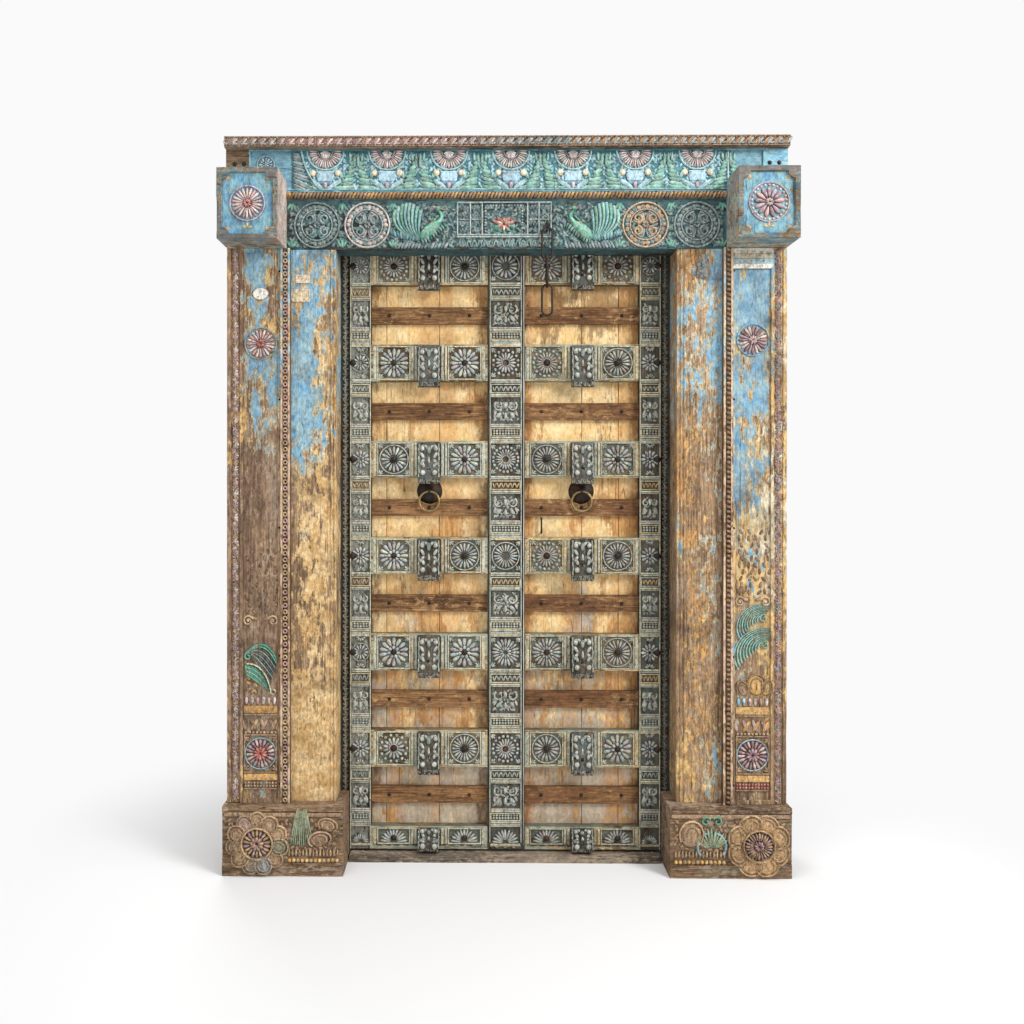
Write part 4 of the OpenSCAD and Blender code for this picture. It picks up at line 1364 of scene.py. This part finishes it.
lintelLayout = {
    "half": 74.0,  # half the height of the carved band, and the radius of its roundels
    "ends": (-694, 694),
    "roundels": (-600, -440, 440, 602),
    "corners": (-681, -520, -358, 358, 521, 684),
    "bird": 258,
    "panel": (-156.0, 144.0),
}


def carveLintel():
    look, layout = frameLook, lintelLayout
    low = span("lintel_beam")[0]
    work = Carving("lintelCarving", "frame", look["face"], "lintel_paint", "carvedFrame")
    work.wash = (tone("283238"), 0.16)
    middle = (low.z + span("rope_moulding")[0].z) / 2 - 2
    half = layout["half"]
    leftEnd, rightEnd = layout["ends"]
    ground = [tone("5b7982"), tone("648683"), tone("4f746e"), tone("77898c")]
    scatter(work, (leftEnd, middle - half), (rightEnd, middle + half), 11, 21, 3.5, ground)
    paints = (  # rings and curls of each roundel
        (look["greys"], look["greys"][:3] + look["teals"][:1]),
        ([look["pinks"][3], look["greys"][1], look["pinks"][1]], look["greys"][:2] + look["purples"][1:2]),
        ([look["tans"][1], look["tans"][3], look["greys"][0]],
         [look["tans"][1], look["tans"][3], look["greys"][1]]),
        (look["greys"], look["greys"]),
    )
    for x, (ring, curls) in zip(layout["roundels"], paints):
        roundel(work, x, middle, half, ring, curls)
    for x in layout["corners"]:  # leaves fill the corners between the roundels
        for side in (-1, 1):
            for fan in (-0.55, 0, 0.55):
                work.stamp("leaf", x, middle + side * 72, fan + (math.pi if side > 0 else 0), (9, 6, 30),
                           look["greens"][1] if fan else look["greens"][3])
    peacock(work, -layout["bird"], middle, 1)
    peacock(work, layout["bird"], middle, -1)
    left, right = layout["panel"]
    base, top = middle - 73, middle + 73
    zigzag(work, (left + 4, base), (right - 4, base + 30), 17, 7, [look["greys"][1], look["greens"][1]])
    work.bar((left, base + 33), (right, base + 38), 6, look["greys"][3])
    work.frame((left, base + 40), (right, top), 4, 6, look["greys"][1])
    columns = ((left + 8, left + 40), (left + 46, left + 76), (right - 72, right - 42),
               (right - 38, right - 8))
    lattice = [look["greys"][0], look["greys"][3]]
    for lowX, highX in columns:
        for lowZ, highZ in ((base + 46, base + 88), (base + 93, top - 6)):
            midZ = lowZ + (highZ - lowZ) / 2
            zigzag(work, (lowX, lowZ), (highX, midZ - 1), 10, 6, lattice)
            zigzag(work, (lowX, midZ + 1), (highX, highZ), 10, 6, lattice)
            work.bar((lowX, highZ + 1), (highX, highZ + 3.5), 5, look["greys"][1], bevel=1)
    for x in (left + 43, left + 80, right - 40, right - 76):
        work.bar((x - 2, base + 42), (x + 2, top - 3), 7, look["greys"][3])
    centre = (left + right) / 2 - 1
    beadRow(work, (centre - 58, top - 12), (centre + 58, top - 12), 4.2, 6, look["greys"])
    for hand in (-1, 1):
        beadRow(work, (centre + hand * 58, base + 48), (centre + hand * 58, top - 16), 4.0, 6, look["greys"])
        for turn, size in ((0.6, 38), (1.15, 46), (1.7, 42), (2.3, 28)):
            colour = look["greens"][1] if turn > 1.5 else look["reds"][1]
            work.stamp("leaf", centre, middle - 2, hand * turn, (12, 8, size), colour)
        work.stamp("leaf", centre, middle - 34, hand * 1.25, (11, 7, 44), look["greens"][2])
        work.stamp("leaf", centre, middle - 34, hand * 2.2, (7, 6, 14), look["greys"][3])
    work.sunburst(centre, middle + 2, 2, 22, 10, 10, look["reds"] + look["creams"][:1])
    work.stamp("reed", centre, middle - 44, 0, (6, 8, 42), look["greens"][0])
    work.done()


def carveCorner(side):
    look = frameLook
    low, high = span(f"{side}_corner_block")
    middle, centre = (low.x + high.x) / 2, (low.z + high.z) / 2
    work = Carving(f"{side}CornerRosette", "frame", low.y + 9, "corner_paint", "carvedFrame")
    if side == "left":
        work.ring(middle, centre, 50, 55, 6, look["purples"][1])
        work.sunburst(middle, centre, 9, 50, 22, 9, look["pinks"] + [look["purples"][1]], wide=0.78)
        work.sunburst(middle, centre, 1, 14, 9, 11, look["reds"])
    else:
        work.ring(middle, centre, 57, 62, 6, look["purples"][1])
        beads, circle = 26, 52
        for i in range(beads):
            angle = 2 * math.pi * i / beads
            px, pz = middle + circle * math.sin(angle), centre + circle * math.cos(angle)
            work.bead(px, pz, 4.4, 6, look["pinks"][i % 2])
        work.sunburst(middle, centre, 10, 48, 13, 10, look["purples"] + look["pinks"][2:3], wide=0.8)
        work.sunburst(middle, centre, 1, 13, 8, 12, look["pinks"])
    for sideX in (-1, 1):
        for sideZ in (-1, 1):
            inward = math.atan2(-sideX, -sideZ)
            work.stamp("leaf", middle + sideX * 70, centre + sideZ * 86, inward, (15, 4, 24),
                       look["tans"][1])
    for fan in (-1.3, 0, 1.3):
        work.stamp("petal", middle, centre - 74, fan, (9, 3.5, 17), look["ochres"][1])
    work.done()
    work = Carving(f"{side}CornerField", "frame", low.y + 9, "corner_paint", "field")
    work.bar((middle - 76, centre - 92), (middle + 76, centre + 92), 1.2, tone("5f98ba"), bevel=1)
    work.done()


def carveBeadStrip(side):
    look = frameLook
    low, high = span(f"{side}_bead_strip")
    middle = (low.x + high.x) / 2
    work = Carving(f"{side}BeadRow", "frame", low.y + 5, "bead_wood", "carvedWood")
    if side == "left":
        pitch = 20.5
        for i in range(int((high.z - low.z) / pitch)):
            z = low.z + pitch * (i + 0.5)
            colour = work.chance.choice([look["tans"][1], look["tans"][3], look["pinks"][2]])
            work.ring(middle, z, 3.2, 8.6, 7, colour)
            work.stamp("petal", middle - 7, z - 9, 0.6, (4, 6, 10), colour)
    else:
        pitch = 15.5
        for i in range(int((high.z - low.z) / pitch)):
            z = low.z + pitch * (i + 0.5)
            fresh = work.chance.choice(look["ochres"] + [look["tans"][1]])
            colour = blendTones(fresh, look["browns"][2], 0.85)
            work.stamp("bead", middle, z - 6, 0.25, (17, 8, 11.5), colour)
    work.done()


pilasterLayout = {  # heights and distances from the middle of the door
    "panel": (720, 832),
    "ground": -40.0,
    "rosette": {"left": 1672, "right": 1682},
    "scrolls": {"left": 795, "right": 858},
    "wornLeaves": {"left": 815, "right": 880},
    "lowRosette": 375,
    "border": (842, 869),
    "borderGround": -42.0,
}


def carvePilaster(side):
    look, layout = frameLook, pilasterLayout
    leftSide = side == "left"
    hand = -1 if leftSide else 1
    low, high = span(f"{side}_pilaster")
    panel = sorted(hand * edge for edge in layout["panel"])
    middle = sum(panel) / 2
    edges = (panel[0] + 3, panel[1] - 3)
    work = Carving(f"{side}PilasterCarving", "frame", layout["ground"], "pilaster_paint", "carvedWood")
    rosetteZ = layout["rosette"][side]
    topPetals = look["pinks"] + look["purples"][1:2] if leftSide else look["purples"] + look["pinks"][:2]
    work.ring(middle, rosetteZ, 48, 52, 5, look["greys"][1] if leftSide else look["blues"][0])
    work.sunburst(middle, rosetteZ, 12, 47, 20, 8, topPetals, wide=0.8)
    work.sunburst(middle, rosetteZ, 1, 15, 9, 10, look["reds"] if leftSide else look["pinks"])
    for sideX in (-1, 1):  # two scrolls over the plume
        z = layout["scrolls"][side]
        scroll = spiral(middle + sideX * 40, z, 17, 1.4, -sideX * 1.2, sideX, 20, 0.2)
        work.strand(scroll, 3.4, look["tans"][1], 0.8, 8)
        work.bead(middle + sideX * 40, z, 5, 8, look["pinks"][1])
        work.stamp("leaf", middle + sideX * 8, z + 4, sideX * 1.3, (12, 7, 34), look["tans"][0])
    for row in range(10):  # carved ground above the plume, worn almost smooth
        for column in range(4):
            z = layout["wornLeaves"][side] + row * 21
            x = edges[0] + 13 + column * 27 + 8 * (row % 2)
            work.stamp("leaf", x, z, work.chance.uniform(-0.8, 0.8), (9, 4 - row * 0.25, 20),
                       look["browns"][(row + column) % 3])
    if leftSide:
        slate = [tone("46524f"), look["greys"][2], tone("39443f"), look["greys"][1]]
        for rib in range(11):  # the upper plume hangs over to the right in dark ribs
            points = bend((middle - 46 + rib * 1.5, 690 + rib * 0.6),
                          (middle + 12 - rib * 3, 758 - rib * 11),
                          (middle + 52 - rib * 2.2, 668 - rib * 7.5))
            colour = look["greens"][rib % 4] if rib < 2 else slate[rib % 4]
            work.strand(points, 5.0, colour, 0.5, 10 - rib * 0.3)
        work.strand(spiral(middle - 40, 682, 13, 1.1, 0.4, -1, 14, 0.25), 3.8, look["greens"][1], 0.8, 10)
        for rib in range(6):  # the lower one ends in a curl
            points = bend((middle - 48 + rib, 652 - rib * 5), (middle + 8 - rib * 5, 654 - rib * 9),
                          (middle + 28 - rib, 570 + rib * 1.5))
            work.strand(points, 5.2, look["greens"][rib % 4], 0.45, 12)
        edging = bend((middle - 44, 659), (middle + 14, 662), (middle + 33, 572))
        work.strand(edging, 3.0, look["creams"][0], 0.8, 14)
        work.strand(spiral(middle + 41, 572, 10, 0.8, -1.6, -1, 12, 0.4), 3.0, look["creams"][0], 0.8, 12)
        scatter(work, (edges[0], 562), (edges[1] - 50, 655), 17, 20, 5,
                look["tans"][:3] + look["ochres"][:1])
    else:
        for plumeZ, size in ((806, 0.85), (722, 1.0)):
            eye = (middle + 40 * size, plumeZ)
            work.strand(spiral(*eye, 13, 1.3, 0.4, -1, 16, 0.2), 3.2, look["greens"][3], 0.7, 9)
            for rib in range(9):
                reach = (22 + rib * 9.5) * size
                points = arc(eye[0], eye[1] - reach * 0.35, reach, -1.75 - 0.04 * rib, 0.35, 14, 0.9)
                colour = look["greens"][rib % 4] if rib % 2 else look["teals"][3]
                work.strand(points, 3.4 * size, colour, 0.35, 8)
        lobe(work, middle + 12, 562, 0, 62, 70, 7, look["ochres"][0], look["browns"][1])
        lobe(work, middle + 38, 562, 0.25, 30, 54, 9, look["ochres"][1], look["browns"][1])
        lobe(work, middle - 24, 562, -0.35, 38, 50, 8, look["tans"][0], look["browns"][1])
    rowPetals = look["pinks"] if leftSide else look["blues"] + look["pinks"]
    petalRow(work, (edges[0], 528), (edges[1], 556), 19, 8, rowPetals)
    work.bar((edges[0], 503), (edges[1], 526), 5, look["ochres"][2 if leftSide else 0], bevel=2.5)
    work.bar((edges[0], 496), (edges[1], 501), 7, look["browns"][1])
    for i in range(7):
        x = edges[0] + 8 + i * 15.2
        colour = look["tans"][i % 4] if leftSide else [look["pinks"][i % 4], look["ochres"][0]][i % 2]
        work.stamp("leaf", x, 446, 0.5 if i % 2 else -0.4, (13, 7, 46), colour)
    beadRow(work, (edges[0], 441), (edges[1], 441), 5, 6, look["tans"])
    rosetteZ = layout["lowRosette"]
    work.frame((edges[0], rosetteZ - 61), (edges[1], rosetteZ + 61), 4, 6, look["browns"][1])
    colours = look["purples"] + look["pinks"][:2]
    work.ring(middle, rosetteZ, 47, 51, 7, look["teals"][1] if leftSide else look["blues"][1])
    work.sunburst(middle, rosetteZ, 20, 48, 19, 9, colours, wide=0.8)
    work.sunburst(middle, rosetteZ, 2, 24, 10, 11, look["reds"] if leftSide else look["purples"])
    cornerLeaves(work, middle, rosetteZ, 55, 6, look["tans"])
    work.bar((edges[0], 291), (edges[1], 311), 5, look["ochres"][0], bevel=2.5)
    for z in (282, 272):
        beadRow(work, (edges[0], z), (edges[1], z), 4.2, 6, look["tans"] if leftSide else look["reds"])
    work.bar((edges[0], 262), (edges[1], 266), 6, look["browns"][1])
    work.done()

    work = Carving(f"{side}CreeperBorder", "frame", layout["borderGround"], "pilaster_paint", "carvedWood")
    if leftSide:
        faded = [look["purples"][1], look["pinks"][0], look["pinks"][3]]
    else:
        faded = [look["pinks"][2], look["greys"][1], look["purples"][1], look["purples"][0]]
    colours = look["tans"][2:4] + faded
    start, end = sorted(hand * edge for edge in layout["border"])
    scatter(work, (start, low.z + 4), (end, high.z - 4), 8.9, 13, 4, colours)
    creeper(work, low.z + 4, high.z - 4, (start + end) / 2, 30, True, colours, 7, pitch=19)
    work.done()


plinthLayout = {  # heights and distances from the middle of the door
    "ground": -74.0,
    "flower": {"left": (-779, 103), "right": (786, 103)},
    "plumeAt": 640,
    "reeds": (522, 684),
    "cap": (515, 884),
}


def carvePlinth(side):
    look, layout = frameLook, plinthLayout
    low, high = span(f"{side}_plinth")
    hand = -1 if side == "left" else 1
    work = Carving(f"{side}PlinthCarving", "frame", layout["ground"], "plinth_wood", "carvedWood")
    tans, pinks = look["tans"], look["pinks"]
    scatter(work, (low.x + 8, 60), (high.x - 8, 186), 15, 19, 4, [tans[0], tans[2], look["browns"][1]])
    x, z = layout["flower"][side]
    if side == "left":
        leafy = [tans[0], tans[3], tans[1], look["greens"][2], tans[0], look["blues"][0], look["greys"][2],
                 tans[1],
                 tans[3], tans[0], look["purples"][1]]
        faded = [blendTones(colour, tans[0], 0.45) for colour in leafy]
        for i, colour in enumerate(faded):
            angle = 2 * math.pi * i / len(faded)
            lobe(work, x + 40 * math.sin(angle), z + 40 * math.cos(angle), angle, 56, 60, 9 + i % 2 * 3,
                 colour,
                 blendTones(colour, tans[1], 0.6))
        work.ring(x, z, 45, 52, 17, tans[1])
        work.sunburst(x, z, 18, 46, 18, 16, [tans[1], look["purples"][1], tans[3]], wide=0.82)
        work.sunburst(x, z, 2, 24, 9, 19, [tans[3], pinks[2]], wide=0.95)
    else:
        for i in range(8):
            angle = math.pi / 4 * (i + 0.5)
            lobe(work, x + 38 * math.sin(angle), z + 38 * math.cos(angle), angle, 76, 62, 10 + i % 2 * 3,
                 blendTones(look["ochres"][0], tans[0], 0.6), tans[1])
        work.ring(x, z, 46, 52, 20, tans[1])
        work.sunburst(x, z, 14, 46, 24, 19, [tans[1], look["purples"][1], tans[3]], wide=0.8)
        work.sunburst(x, z, 2, 17, 9, 21, [look["purples"][0], pinks[2]])
    root = hand * layout["plumeAt"]
    if side == "left":
        for spread in range(-5, 6):  # a tassel of willow leaves
            points = [(root + spread * (2.2 + 4.6 * (i / 8) ** 0.8), 204 - 13.5 * i + abs(spread) * 1.6)
                      for i in range(9)]
            work.strand(points, 4.2, blendTones(look["greens"][spread % 4], tans[1], 0.45), 0.5, 10)
        lobe(work, root + 76, 140, 0.3, 64, 44, 9, tans[0], tans[1])
        lobe(work, root + 62, 92, -0.2, 76, 50, 10, tans[2], tans[3])
    else:
        for spread in range(-5, 6):  # a shell between two scrolls
            petal = blendTones(look["greens"][spread % 4], tans[1], 0.35)
            work.stamp("petal", root + spread * 1.5, 92, spread * 0.2, (12, 11, 70 - abs(spread) * 3), petal)
        for turn in (-1, 1):
            work.strand(arc(root, 100, 44, turn * 2.2, turn * 0.35, 12), 5, look["teals"][3], 0.8, 11)
            scroll = spiral(root + turn * 18, 178, 15, 1.1, -turn * 1.0, turn, 14, 0.25)
            work.strand(scroll, 4, look["greens"][0], 0.8, 11)
        lobe(work, root - 72, 94, 0.2, 78, 88, 12, tans[0], tans[1])
    start, end = sorted(hand * edge for edge in layout["reeds"])
    petalRow(work, (start, 62), (end, 88), 11, 9, [tans[1], tans[0], tans[3]], down=True)
    beadRow(work, (start, 51), (end, 51), 6.6, 13, [look["ochres"][0], look["ochres"][1], tans[1]], gap=1.05)
    start, end = sorted(hand * edge for edge in layout["cap"])
    work.bar((start, 188), (end, 199), 6, tans[2], bevel=3)
    work.done()


tagLayout = {
    "stripes": {"from": (706, 1906), "to": (838, 1921), "pitch": 16},
    "framed": (((-668, 1866), (-622, 1892)), ((-682, 1806), (-622, 1846))),
    "oval": (-777, 1810),
    "jambLift": -11.6,  # the jambs' faces lie this far behind the pilasters' ground
}


def fixTags():
    # small bare tags of tin and paper nailed on the frame
    look, layout = frameLook, tagLayout
    work = Carving("bareTags", "frame", pilasterLayout["ground"], "pilaster_paint")
    pale, onJamb = tone("d9d6cb"), layout["jambLift"]
    stripes = layout["stripes"]
    for row, colour in enumerate((pale, look["blues"][1], look["creams"][0], pale)):
        rowLow, rowHigh = ((x, z + row * stripes["pitch"]) for x, z in (stripes["from"], stripes["to"]))
        work.bar(rowLow, rowHigh, 1.6, colour, 0.6, lift=6.4)
    for low, high in layout["framed"]:
        work.frame(low, high, 4, 2.2, look["pinks"][1], lift=onJamb)
        work.bar((low[0] + 3, low[1] + 3), (high[0] - 3, high[1] - 3), 1.4, look["creams"][1], 0.6,
                 lift=onJamb)
        for x in (low[0] + 5, high[0] - 5):
            work.bead(x, (low[1] + high[1]) / 2, 1.8, 3, look["browns"][2], lift=-12)
    work.stamp("bead", *layout["oval"], 0, (58, 3, 40), pale)
    work.bar((604, 1880), (640, 1940), 1.6, look["browns"][2], 0.6, lift=onJamb)
    work.bar((609, 1886), (635, 1934), 2.4, tone("4f6370"), 0.6, lift=onJamb)
    work.done()


def fitTongues(side):
    # loose tongues that close the gaps between the boards
    work = Carving(f"{side}BoardTongues", pieceNames[side], 130.0, "plank_wood", "carvedWood")
    for board in (1, 2):
        low, high = span(f"{side}_plank_{board}")
        nextLow, nextHigh = span(f"{side}_plank_{board + 1}")
        gap = (high.x + nextLow.x) / 2 if high.x < nextHigh.x else (low.x + nextHigh.x) / 2
        work.bar((gap - 6, low.z + 2), (gap + 6, high.z - 2), 8, tone("2a1c12"))
    work.done()


fixTags()
carveRope()
carveCornice()
carveFrieze()
carveLintel()
for side in ("left", "right"):
    carveCorner(side)
    carveBeadStrip(side)
    carvePilaster(side)
    carvePlinth(side)
    fitTongues(side)
print("frame is carved")
